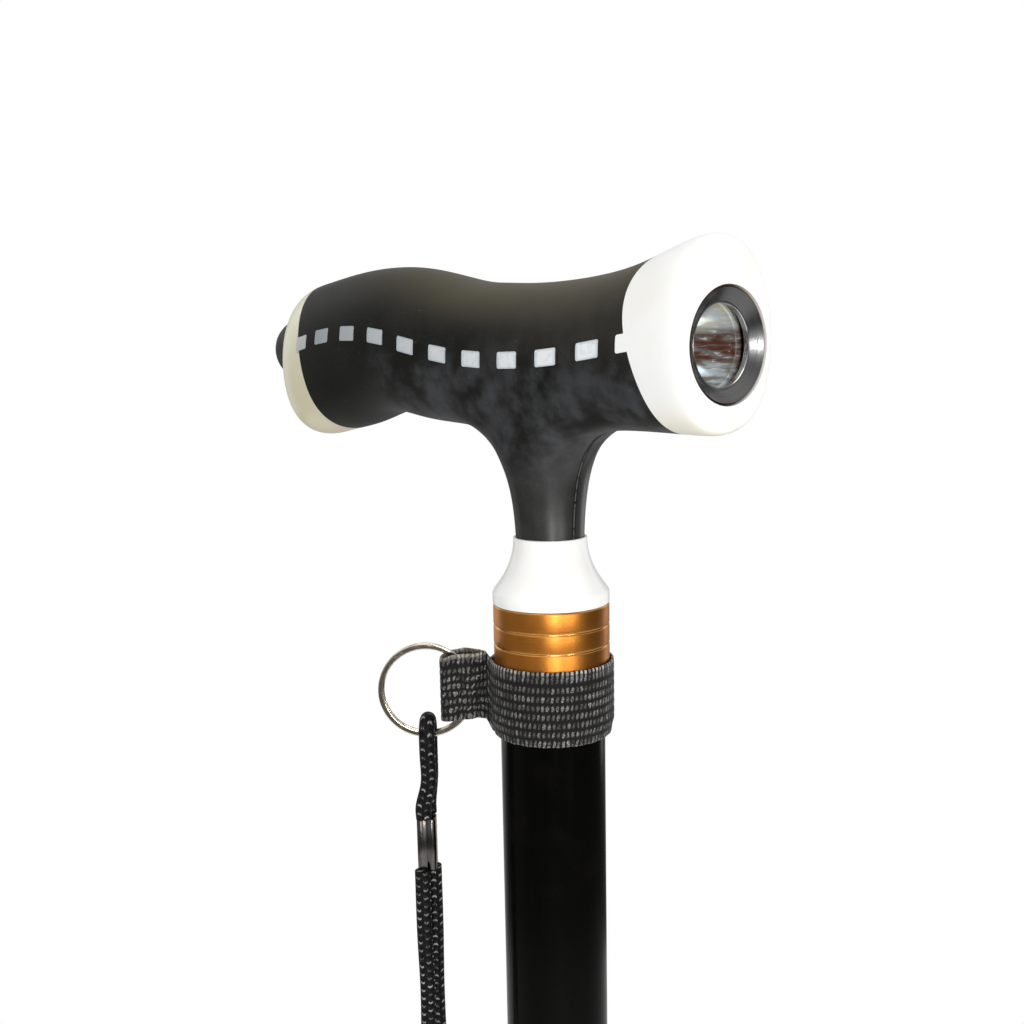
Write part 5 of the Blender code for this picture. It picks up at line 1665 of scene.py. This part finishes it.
@dataclass
class Collar:
    """The white bell-shaped collar, the rod and pin inside, and the gold ring under it."""

    radius: float = 12.1
    top_radius: float = 7.6
    straight: float = 2.6
    shoulder: float = 0.7
    top: float = 13.6
    flare: float = 2.1
    gold_radius: float = 12.05
    gold_length: float = 24.0
    grooves: tuple[float, ...] = GOLD_GROOVES
    groove_shape: tuple[Spot, ...] = (
        (-0.36, 0.0), (-0.24, 0.1), (-0.08, 0.17), (0.08, 0.17), (0.24, 0.1), (0.36, 0.0),
    )

    def build(self) -> None:
        """Builds and dresses the collar and the gold ring."""
        base = COLLAR_LEVEL / MM
        profile = [(3.3, base - 32), (8.5, base - 32), (9.5, base - 30.5), (9.5, base),
                   (self.radius - 0.25, base), (self.radius - 0.06, base + 0.08), (self.radius, base + 0.3)]
        slope = self.flare * (self.radius - self.top_radius) / (self.top - self.straight)
        for k in range(9):
            turn = (k / 4 - 1) * self.shoulder
            profile.append((self.radius - slope * (turn + self.shoulder) ** 2 / (4 * self.shoulder),
                            base + self.straight + turn))
        for k in range(25):
            share = k / 24
            rise = self.straight + (self.top - self.straight) * share
            if rise > self.straight + self.shoulder * 1.3:
                reach = self.top_radius + (self.radius - self.top_radius) * (1 - share) ** self.flare
                profile.append((reach, base + rise))
        profile += [(self.top_radius - 0.25, base + self.top + 0.12), (7.05, base + self.top),
                    (7.0, base + self.top - 0.6), (5.58, base + self.top - 0.6), (5.58, base + 7.9),
                    (3.3, base + 7.9)]
        collar = Bench.turned("collar_bell", profile, Axis.STICK, 112, True)
        deliver(Bench.smooth(collar), Body.HANDLE, Slot.WHITE, ["neck_collar"], WHITE)

        gold = [(11.3, base - self.gold_length), (self.gold_radius, base - self.gold_length)]
        for groove in reversed(self.grooves):
            gold += [(self.gold_radius - depth, base - groove + across)
                     for across, depth in self.groove_shape]
        gold += [(self.gold_radius, base - 0.42), (self.gold_radius - 0.06, base - 0.24),
                 (self.gold_radius - 0.22, base - 0.1), (11.3, base - 0.1)]
        ring = Bench.turned("gold_sleeve", gold, Axis.STICK, 128, True)
        deliver(Bench.smooth(Bench.broken(ring, 0.05 * MM), 40), Body.HANDLE, Slot.GOLD, ["gold_ring"],
                GoldAnodised("gold_anodised_turned"))
        dress(STEEL, "neck_rod", "spigot_pin")


@dataclass
class Tubes:
    """Both tubes, the lock between them, the snap button and the foot."""

    upper_radius: float = 11.0
    lower_radius: float = 9.5
    wall: float = 1.2
    upper_foot: float = 320.0
    lower_top: float = 480.0
    snap_level: float = 440.0
    hole_pitch: float = 25.4
    hole_radius: float = 3.3
    lock_radius: float = 15.0
    flutes: int = 8
    flute_radius: float = 2.4
    flute_depth: float = 1.3

    def build(self) -> None:
        """Builds and dresses everything under the gold ring."""
        self.build_upper()
        self.build_lower()
        self.build_lock()
        self.build_snap()
        self.build_foot()
        dress(BLACK, "split_bushing", "top_plug")
        dress(STEEL, "foot_washer")

    def tube(self, name: str, radius: float, low: float, high: float) -> bpy.types.Object:
        """A plain tube with broken ends.

        Args:
            name: its name.
            radius: its outer radius, in millimetres.
            low: its lower end.
            high: its upper end.

        Returns:
            The tube.
        """
        bore = radius - self.wall
        profile = [(bore, low), (radius - 0.2, low), (radius, low + 0.2)]
        profile += [(radius, low + (high - low) * k / 12) for k in range(1, 12)]
        profile += [(radius, high - 0.2), (radius - 0.2, high), (bore, high)]
        return Bench.turned(name, profile, Axis.STICK, 112, True)

    def build_upper(self) -> None:
        """The upper tube with its height holes and the pin's hole."""
        tube = self.tube("tube_upper", self.upper_radius, self.upper_foot, COLLAR_LEVEL / MM - 0.3)
        for k in range(-3, 4):
            level = (self.snap_level + k * self.hole_pitch) * MM
            start = Vector((5 * MM, 0.0, level))
            Bench.drill(tube, self.hole_radius * MM, start, start + Vector((12 * MM, 0.0, 0.0)))
        pin = Vector((0.0, 15 * MM, COLLAR_LEVEL - 18 * MM))
        Bench.drill(tube, 1.8 * MM, pin, pin - Vector((0.0, 30 * MM, 0.0)), 24)
        deliver(Bench.smooth(tube), Body.HANDLE, Slot.TUBE, ["upper_tube"], GlossTube("tube_enamel"))

    def build_lower(self) -> None:
        """The lower tube with the snap button's hole."""
        tube = self.tube("tube_lower", self.lower_radius, 11.8, self.lower_top)
        start = Vector((4 * MM, 0.0, self.snap_level * MM))
        Bench.drill(tube, self.hole_radius * MM, start, start + Vector((12 * MM, 0.0, 0.0)))
        deliver(Bench.smooth(tube), Body.LOWER, Slot.TUBE, ["lower_tube"], GlossTube("tube_enamel"))

    def build_lock(self) -> None:
        """The fluted locking collar."""
        foot, head, radius = 304.0, 336.0, self.lock_radius
        profile = [(9.8, foot), (radius - 2.4, foot)]
        profile += arc((radius - 1.3, foot + 1.3), (1.3, 1.3), -90.0, 0.0, 6)
        profile += [(radius, 328.6), (radius - 0.35, 328.9), (radius - 0.35, 329.5), (radius, 329.8)]
        profile += arc((radius - 1.3, head - 1.3), (1.3, 1.3), 0.0, 90.0, 6)
        profile += [(11.3, head), (11.3, 315.7), (11.1, 306.7), (9.8, 306.4)]
        nut = Bench.turned("lock_nut", profile, Axis.STICK, 96, True)
        for k in range(self.flutes):
            angle = 2 * math.pi * k / self.flutes
            self.cut_flute(nut, angle, foot + 4, 327.0)
        deliver(Bench.smooth(nut, 28), Body.LOCK, Slot.BLACK, ["lock_collar"], BLACK)

    def cut_flute(self, nut: bpy.types.Object, angle: float, low: float, high: float) -> None:
        """Cuts one upright flute with round ends.

        Args:
            nut: the locking collar.
            angle: where the flute stands round it.
            low: the flute's lower end, in millimetres.
            high: its upper end.
        """
        bpy.ops.object.select_all(action="DESELECT")
        reach = self.lock_radius + self.flute_radius - self.flute_depth
        middle = (reach * math.cos(angle) * MM, reach * math.sin(angle) * MM, (low + high) / 2 * MM)
        bpy.ops.mesh.primitive_cylinder_add(vertices=32, radius=self.flute_radius * MM,
                                            depth=(high - low) * MM, location=middle)
        tool = bpy.context.active_object
        bpy.ops.object.transform_apply(location=True, rotation=True, scale=True)
        Bench.broken(tool, 1.6 * MM, 5, 60)
        Bench.combine(nut, tool)

    def build_snap(self) -> None:
        """The round snap button on its rivet."""
        crown = self.upper_radius + 1.6
        profile = [(0.0, 4.7), (2.2, 4.7), (2.2, 5.6), (1.4, 5.6), (1.4, 7.1), (3.0, 7.1), (3.0, crown - 1.4)]
        profile += arc((0.0, crown - 1.4), (3.0, 1.4), 0.0, 90.0, 10)[1:]
        button = Bench.turned("snap_dome", profile, Axis.TORCH, 40)
        button.data.transform(Matrix.Translation((0.0, 0.0, self.snap_level * MM - TORCH_LEVEL)))
        deliver(Bench.smooth(button), Body.SNAP, Slot.STEEL, ["snap_button"], STEEL)
        low, high = (Vector(corner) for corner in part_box("snap_spring"))
        levels = [low.z + (high.z - low.z) * k / 16 for k in range(3, 14)]
        flex("snap_spring", "snap_strip", (Body.LOWER, Body.SNAP), levels)

    def build_foot(self) -> None:
        """The flared rubber foot with its ringed sole."""
        sleeve = 12.6
        profile = [(0.0, 0.0)]
        for groove in (7.0, 12.5):
            profile += [(groove, 0.0), (groove + 0.45, 1.4), (groove + 0.85, 1.7), (groove + 1.25, 1.4),
                        (groove + 1.7, 0.0)]
        profile += [(18.2, 0.0), (18.8, 0.3), (19.0, 0.9), (19.0, 4.6), (18.85, 5.1), (18.4, 5.6)]
        for k in range(13):
            share = k / 12
            profile.append((sleeve + 5.6 * (1 - share) ** 2, 7.0 + 17.0 * share))
        for ring in (30.0, 36.0):
            profile += [(sleeve + 0.9 * math.sin(math.pi * k / 8), ring + 3.0 * k / 8) for k in range(9)]
        profile += [(sleeve, 45.3), (sleeve + 0.6, 45.7), (sleeve + 0.9, 46.2), (sleeve + 0.9, 47.4),
                    (sleeve + 0.6, 47.9), (sleeve + 0.2, 48.0), (9.9, 48.0), (9.8, 47.7), (9.8, 10.0),
                    (0.0, 10.0)]
        foot = Bench.turned("foot_rubber", profile, Axis.STICK, 96)
        deliver(Bench.smooth(foot), Body.LOWER, Slot.RUBBER, ["rubber_foot"], PLAIN_RUBBER)


def tab_side(distance: float, across: float, level: float) -> Vector:
    """A place beside the stick.

    Args:
        distance: how far out it is, along the tab's direction.
        across: how far it is square to that direction.
        level: its height over the floor.

    Returns:
        The place.
    """
    along = Vector((math.cos(TAB_DIRECTION), math.sin(TAB_DIRECTION), 0.0))
    square = Vector((math.sin(TAB_DIRECTION), -math.cos(TAB_DIRECTION), 0.0))
    return along * distance + square * across + Vector((0.0, 0.0, level))


@dataclass
class Strap:
    """The webbing band with its tab, the split ring, both cords and their ferrule."""

    band_radius: float = 12.65
    webbing: float = 0.6
    webbing_top: float = -11.86
    webbing_width: float = 15.8
    courses: int = 8
    top_course: float = 2.8
    rib: float = 0.98
    tab_outer: float = 12.95
    tab_length: float = 10.5
    tab_top: tuple[Spot, ...] = ((0.0, 0.0), (0.9, 1.4), (5.8, 1.6), (7.9, 1.25), (10.5, 0.35))
    tab_foot: tuple[Spot, ...] = ((0.0, 0.0), (0.9, 2.7), (2.9, 3.4), (5.8, 3.2), (10.5, 2.6))
    ring_radius: float = 9.5
    ring_centre: float = 26.4
    ring_level: float = -18.61
    wire_width: float = 1.2
    wire_thickness: float = 0.6
    turn_pitch: float = 1.02
    cord: float = 3.3
    braid_pitch: float = 1.85
    ferrule_reach: float = 27.3
    ferrule_drop: float = 18.5
    ferrule_length: float = 11.3
    wrist_route: tuple[tuple[float, float, float], ...] = (
        (-1.1, 1.4, -0.3), (-1.1, 1.4, -14.2), (-0.9, 1.6, -30.2), (-1.2, 2.2, -46.2),
        (-2.4, 5.0, -66.2), (-4.8, 11.5, -90.2), (-6.6, 18.0, -118.2), (-6.8, 21.5, -146.2),
        (-5.0, 18.5, -172.2), (-2.0, 9.5, -190.2), (0.8, -1.0, -195.7), (3.6, -11.0, -189.2),
        (6.4, -19.5, -170.2), (7.8, -21.5, -144.2), (7.2, -17.0, -116.2), (5.2, -10.5, -89.2),
        (3.0, -4.6, -66.2), (1.4, -2.2, -46.2), (0.8, -1.6, -30.2), (1.1, -1.4, -14.2), (1.1, -1.4, -0.3),
    )

    def place(self, distance: float, across: float, rise: float) -> Vector:
        """A place beside the stick in millimetres, with its level from the collar's lower edge."""
        return tab_side(distance * MM, across * MM, COLLAR_LEVEL + rise * MM)

    def build(self) -> None:
        """Builds the strap, its cords first."""
        self.build_cords()
        self.build_ferrule()
        self.build_ring()
        self.build_webbing()

    def tube(self, name: str, line: np.ndarray, columns: int, turned: float) -> bpy.types.Object:
        """A cord along a line, with closed round ends and a braid's UV map.

        Args:
            name: the piece's name.
            line: the points that it follows.
            columns: how many columns of strands stand round it.
            turned: how far the braid is turned round it, in columns.

        Returns:
            The cord as a mesh.
        """
        sides, radius = 20, self.cord * MM / 2
        ways = np.gradient(line, axis=0)
        ways /= np.linalg.norm(ways, axis=1)[:, None]
        side = np.array((math.cos(TAB_DIRECTION), math.sin(TAB_DIRECTION), 0.0))
        points, run = [], run_along(line)
        for spot, way in zip(line, ways):
            side = side - way * np.dot(side, way)
            side /= np.linalg.norm(side)
            other = np.cross(way, side)
            for k in range(sides):
                angle = 2 * math.pi * k / sides
                points.append(spot + radius * (side * math.cos(angle) + other * math.sin(angle)))
        made = Bench.from_faces(name, points, tube_faces(len(line), sides))
        braid = made.data.uv_layers.new(name="braid")
        for index, face in enumerate(made.data.polygons):
            ring, turn = divmod(index, sides)
            if ring >= len(line) - 1:
                continue
            for loop, (down, around) in zip(face.loop_indices, ((0, 0), (0, 1), (1, 1), (1, 0))):
                braid.data[loop].uv = ((turn + around) / sides * columns + turned,
                                       run[ring + down] / (self.braid_pitch * MM))
        return Bench.smooth(made, 60)

    def build_cords(self) -> None:
        """The doubled cord through the ring and the wrist loop under the ferrule."""
        bottom = self.ring_level - self.ring_radius
        wrap = math.hypot((self.turn_pitch + self.wire_thickness) / 2, self.wire_width / 2)
        wrap = wrap + 0.3 + self.cord / 2
        sides = []
        for side in (1, -1):
            reach, aside = self.ferrule_reach - side * 0.4, side * 1.75
            strand = [(reach, aside, 0.3 - self.ferrule_drop), (reach, aside, 3.0 - self.ferrule_drop)]
            strand += [(self.ring_centre, side * wrap * 0.75, -10.0),
                       (self.ring_centre, side * wrap * 0.95, -4.0)]
            sides.append(strand + [(self.ring_centre, side * wrap, 0.0)])
        over = [(self.ring_centre, wrap * math.cos(math.pi * k / 6), wrap * math.sin(math.pi * k / 6))
                for k in range(1, 6)]
        knots = sides[0] + over + sides[1][::-1]
        route = [self.place(out, across, bottom + rise) for out, across, rise in knots]
        self.lay_cord("cord_through_ring", route, 130, "ring_cord", 0.5)
        low = bottom - self.ferrule_drop - self.ferrule_length
        route = [self.place(self.ferrule_reach + out, across, low + rise)
                 for out, across, rise in self.wrist_route]
        self.lay_cord("cord_wrist_loop", route, 620, "wrist_cord", 0.0)

    def lay_cord(self, name: str, route: Sequence[Vector], count: int, node: str,
                 turned: float) -> None:
        """Args:
            name: the piece's name.
            route: the points that it runs through.
            count: how many points its smooth line gets.
            node: the node that it stands for.
            turned: how far the braid is turned round it, in columns.
        """
        line = smooth_route(route, count)
        piece = self.tube(name, line, 6, turned)
        deliver(piece, Body.STRAP, Slot.CORD, [node], BraidedCord("braided_cord"))

    def build_ferrule(self) -> None:
        """The crimped metal band over both cords."""
        low = self.ring_level - self.ring_radius - self.ferrule_drop - self.ferrule_length
        lobe, flat = 1.025, 0.975
        outline = []
        for side in (1, -1):
            for k in range(17):
                angle = side * math.pi / 2 - math.pi * k / 16
                rise = math.copysign(flat, math.sin(angle)) + lobe * math.sin(angle)
                outline.append((side * lobe + lobe * math.cos(angle), rise))
            outline.append((0.0, -side * 1.45))
        points = [self.place(self.ferrule_reach + along, across, low) for along, across in outline]
        band = Bench.prism("ferrule_band", points, Vector((0.0, 0.0, self.ferrule_length * MM)))
        Bench.broken(band, 0.12 * MM, 2, 60)
        deliver(Bench.smooth(band, 40), Body.STRAP, Slot.NICKEL, ["cord_ferrule"], CRIMPED)

    def build_ring(self) -> None:
        """The split ring: flat wire in two turns, with round edges."""
        per_turn, corners = 96, 5
        wide, thick, edge = self.wire_width / 2, self.wire_thickness / 2, 0.22
        section = rounded_box(wide, thick, edge, corners)
        first, last = math.radians(155), math.radians(155 + 2 * 360 * 46 / 48)
        count = 2 * per_turn
        points = []
        for k in range(count + 1):
            share = k / count
            angle = first + (last - first) * share
            cross = min(max((share - 0.5) * 14 + 0.5, 0.0), 1.0)
            across = self.turn_pitch * (cross * cross * (3 - 2 * cross) - 0.5)
            taper = min(1.0, 0.35 + 12 * min(share, 1 - share) ** 0.9)
            for out, side in section:
                radius = self.ring_radius + out * taper
                points.append(self.place(self.ring_centre + radius * math.cos(angle), across + side * taper,
                                         self.ring_level + radius * math.sin(angle)))
        ring = Bench.outward(Bench.from_faces("ring_wire", points, tube_faces(count + 1, len(section))))
        deliver(Bench.smooth(ring, 50), Body.RING, Slot.NICKEL, ["split_ring"], NICKEL)

    def webbing_path(self) -> np.ndarray:
        """The webbing's closed path in the tab's plane, through the middle of its thickness.

        Returns:
            The path's points.
        """
        fold = self.tab_outer + self.tab_length - self.webbing / 2
        side = [(13.05, 0.62), (13.5, 0.42), (14.2, 0.55), (15.2, 1.35), (16.3, 2.15), (17.4, 2.5),
                (19.5, 2.5)]
        side += arc((fold - 1.4, 1.1), (1.4, 1.4), 90.0, 0.0, 4)
        band = arc((0.0, 0.0), (self.band_radius, self.band_radius), 6.5, 353.5, 59)
        knots = band + [(x, -y) for x, y in side] + side[::-1]
        line = smooth_route([(x, y, 0.0) for x, y in knots + knots[:1]], 361)
        return line[:-1, :2]

    def build_webbing(self) -> None:
        """The elastic band and its doubled tab, woven round one closed path."""
        path = self.webbing_path()
        count = len(path)
        ways = np.roll(path, -1, axis=0) - np.roll(path, 1, axis=0)
        ways /= np.linalg.norm(ways, axis=1)[:, None]
        outs = np.stack((ways[:, 1], -ways[:, 0]), axis=1)
        run = run_along(np.vstack((path, path[:1])))
        ribs = round(run[-1] / self.rib)
        profile = self.webbing_profile()
        points = []
        for k in range(count):
            beyond = max(path[k][0] - self.tab_outer, 0.0)
            top, foot = self.climb(self.tab_top, beyond), self.climb(self.tab_foot, beyond)
            for out, rise in profile:
                level = self.webbing_top - self.webbing_width + rise
                draw = self.draw_in(level) * max(0.0, 1 - beyond / 2.0)
                share = rise / self.webbing_width
                wave = 0.10 * math.sin(run[k] * 1.7) * (share - 0.5)
                x, y = path[k] + outs[k] * (out - draw)
                points.append(self.place(x, y, level + foot + (top - foot) * share + wave))
        size = len(profile)
        faces = []
        for k in range(count):
            after = (k + 1) % count
            for j in range(size):
                up = (j + 1) % size
                faces.append([k * size + j, after * size + j, after * size + up, k * size + up])
        band = Bench.from_faces("webbing_elastic", points, faces)
        weave = band.data.uv_layers.new(name="weave")
        for index, face in enumerate(band.data.polygons):
            k, j = divmod(index, size)
            spots = ((k, j), (k + 1, j), (k + 1, j + 1), (k, j + 1))
            for loop, (column, row) in zip(face.loop_indices, spots):
                rise = profile[row % size][1]
                weave.data[loop].uv = (run[column] / run[-1] * ribs, self.course_at(rise))
        Bench.pick(band)
        bpy.ops.object.mode_set(mode="EDIT")
        bpy.ops.mesh.select_all(action="SELECT")
        bpy.ops.mesh.normals_make_consistent(inside=False)
        bpy.ops.object.mode_set(mode="OBJECT")
        weave_finish = ElasticWeave("elastic_weave")
        deliver(Bench.smooth(band, 60), Body.BAND, Slot.WEBBING, ["webbing_band"], weave_finish)

    @staticmethod
    def climb(lifts: Sequence[Spot], beyond: float) -> float:
        """How far one edge of the tab climbs at a distance from the band."""
        return float(np.interp(beyond, [out for out, _ in lifts], [rise for _, rise in lifts]))

    def webbing_profile(self) -> list[Spot]:
        """The webbing's cross-section: ridged outside, plain inside, with round rims.

        Returns:
            The section's points.
        """
        half, steps = self.webbing / 2, 6
        outside = []
        for k in range(self.courses * steps + 1):
            course = k / steps
            ridge = 0.09 * abs(math.sin(math.pi * course)) ** 0.6
            rise = min(max(self.course_level(course), 0.15), self.webbing_width - 0.15)
            outside.append((half - 0.09 + ridge, rise))
        inside = [(-half, 0.15 + (self.webbing_width - 0.3) * k / 8) for k in range(8, -1, -1)]
        return [(0.0, 0.0)] + outside + [(0.0, self.webbing_width)] + inside

    def course_level(self, course: float) -> float:
        """The height at which a course of the webbing stands.

        Args:
            course: the course, counted from the lower rim.

        Returns:
            Its height over that rim.
        """
        low = (self.webbing_width - self.top_course) / (self.courses - 1)
        whole = self.courses - 1
        return course * low if course <= whole else whole * low + (course - whole) * self.top_course

    def course_at(self, rise: float) -> float:
        """The course of the webbing at a height.

        Args:
            rise: the height over the lower rim.

        Returns:
            The course, counted from that rim.
        """
        low = (self.webbing_width - self.top_course) / (self.courses - 1)
        whole = self.courses - 1
        return rise / low if rise <= whole * low else whole + (rise - whole * low) / self.top_course

    def draw_in(self, level: float) -> float:
        """How far the elastic draws in below the gold ring's end."""
        share = min(max((-24.1 - level) / 3.2, 0.0), 1.0)
        return 0.55 * share * share * (3 - 2 * share)


@dataclass
class Studio:
    """A pale floor, a white room, soft lamps and the photograph's camera."""

    focal: float = 1230.17
    frame_size: float = 1024.0
    middle: tuple[float, float] = (550.54, 559.65)
    camera_place: tuple[float, float, float] = (184.365, -167.861, 852.864)
    camera_right: tuple[float, float, float] = (0.67507557, 0.73760354, -0.01462844)
    camera_up: tuple[float, float, float] = (-0.11884357, 0.12829575, 0.98458946)
    camera_look: tuple[float, float, float] = (-0.72811344, 0.66293379, -0.17426877)
    fill: float = 0.52
    floor_radius: float = 1.4
    zones: tuple[tuple[float, float, float, float], ...] = (
        (-6.0, 6.0, 22.0, 0.9), (-82.0, 5.0, 20.0, 0.5), (150.0, 15.0, 50.0, 0.5), (-125.0, 8.0, 34.0, 0.25),
    )

    def build(self) -> None:
        """Sets up the room."""
        self.set_view()
        self.build_floor()
        self.light_room()
        self.build_world()
        self.build_camera()

    def set_view(self) -> None:
        """Shows colours as they are written."""
        bpy.context.scene.view_settings.view_transform = "Standard"

    def build_floor(self) -> None:
        """A large pale disc that keeps the stick's shadow and turns white further out."""
        bpy.ops.object.select_all(action="DESELECT")
        bpy.ops.mesh.primitive_circle_add(vertices=96, radius=self.floor_radius, fill_type="TRIFAN",
                                          location=(0.0, 0.0, 0.0))
        floor = bpy.context.active_object
        floor.name = "studio_floor"
        made = bpy.data.materials.new("studio_floor")
        made.use_nodes = True
        graph = Graph(made.node_tree)
        x, y, _ = graph.parts(graph.place())
        reach = (x * x + y * y).apply("SQRT")
        seen = graph.value("ShaderNodeLightPath", {}, {}, "Is Camera Ray")
        matt = graph.surface({"Base Color": tone(240, 240, 240), "Roughness": 0.9, "Specular IOR Level": 0.1})
        shine = {"Color": PURE_WHITE, "Strength": 1.0}
        white = graph.node("ShaderNodeEmission", {}, shine).outputs[0]
        share = seen * reach.rise(0.35, 1.1)
        graph.end(graph.node("ShaderNodeMixShader", {}, {0: share, 1: matt, 2: white}).outputs[0])
        floor.data.materials.append(made)
        # The foot stands on it at every height of the stick
        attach(floor, Body.LOWER.value)

    def lamp(self, name: str, place: Sequence[float], aim: Sequence[float], size: Spot, power: float) -> None:
        """Hangs one soft lamp.

        Args:
            name: its name.
            place: where it hangs.
            aim: the point that it shines at.
            size: its width and height.
            power: its power in watts.
        """
        data = bpy.data.lights.new(name, "AREA")
        data.shape = "RECTANGLE"
        data.size, data.size_y = size
        data.energy = power
        made = bpy.data.objects.new(name, data)
        bpy.context.scene.collection.objects.link(made)
        made.location = place
        made.rotation_mode = "QUATERNION"
        made.rotation_quaternion = (Vector(aim) - Vector(place)).to_track_quat("-Z", "Y")

    def light_room(self) -> None:
        """Soft lamps over the stick, by the camera and from each side, and a small one before the torch."""
        middle = (0.0, 0.0, 0.80)
        self.lamp("lamp_over", (0.20, -0.30, 2.3), middle, (1.2, 1.2), 9.0)
        self.lamp("lamp_camera", (1.38, -1.0, 0.98), middle, (0.35, 0.9), 16.0)
        self.lamp("lamp_left", (-1.57, -0.16, 1.0), middle, (0.5, 1.6), 2.2)
        self.lamp("lamp_right", (-0.05, 1.5, 1.0), middle, (0.5, 1.6), 3.0)
        self.lamp("lamp_ahead", (1.49, -0.18, TORCH_LEVEL), (0.05, 0.0, TORCH_LEVEL), (0.12, 0.24), 4.0)

    def build_world(self) -> None:
        """White where it is seen, soft light elsewhere, and bright and dim zones for what mirrors it."""
        world = bpy.data.worlds.new("studio_world")
        bpy.context.scene.world = world
        world.use_nodes = True
        graph = Graph(world.node_tree)
        path = graph.node("ShaderNodeLightPath", {}, {})
        seen = Signal(graph, path.outputs["Is Camera Ray"])
        through = Signal(graph, path.outputs["Is Transmission Ray"])
        mirrored = Signal(graph, path.outputs["Is Glossy Ray"])
        way = graph.node("ShaderNodeTexCoord", {}, {}).outputs["Generated"]
        rise = graph.parts(way)[2]
        zones = rise.rise(0.15, 0.75) * 0.75
        for azimuth, inner, outer, power in self.zones:
            aim = (math.cos(math.radians(azimuth)), math.sin(math.radians(azimuth)), 0.0)
            near = graph.value("ShaderNodeVectorMath", {"operation": "DOT_PRODUCT"}, {0: way, 1: aim},
                               "Value")
            zones = zones + near.rise(math.cos(math.radians(outer)), math.cos(math.radians(inner))) * power
        white = (seen + through).apply("MINIMUM", 1.0)
        shone = (zones + 0.10).apply("MINIMUM", 1.0)
        strength = white + (1.0 - white) * (mirrored * shone + (1.0 - mirrored) * self.fill)
        light = graph.node("ShaderNodeBackground", {}, {"Color": PURE_WHITE, "Strength": strength})
        graph.end(light.outputs[0], "ShaderNodeOutputWorld")

    def build_camera(self) -> None:
        """Stands the camera where the photograph was taken from."""
        data = bpy.data.cameras.new("photo_camera")
        data.sensor_width = 36.0
        data.lens = self.focal * data.sensor_width / self.frame_size
        data.shift_x = -(self.middle[0] - self.frame_size / 2) / self.frame_size
        data.shift_y = (self.middle[1] - self.frame_size / 2) / self.frame_size
        data.clip_start = 0.01
        data.clip_end = 50.0
        made = bpy.data.objects.new("photo_camera", data)
        bpy.context.scene.collection.objects.link(made)
        right, up, look = Vector(self.camera_right), Vector(self.camera_up), Vector(self.camera_look)
        made.matrix_world = Matrix((
            (right.x, up.x, -look.x, self.camera_place[0] * MM),
            (right.y, up.y, -look.y, self.camera_place[1] * MM),
            (right.z, up.z, -look.z, self.camera_place[2] * MM),
            (0.0, 0.0, 0.0, 1.0)))
        bpy.context.scene.camera = made


def main() -> None:
    """Builds the studio and the stick, piece by piece."""
    logging.basicConfig(level=logging.INFO, format="%(name)s: %(message)s")
    for assembly in (Studio(), Strap(), Handle(), Torch(), Collar(), Tubes()):
        assembly.build()
        LOG.info("%s is done", type(assembly).__name__)


if __name__ == "__main__":
    main()
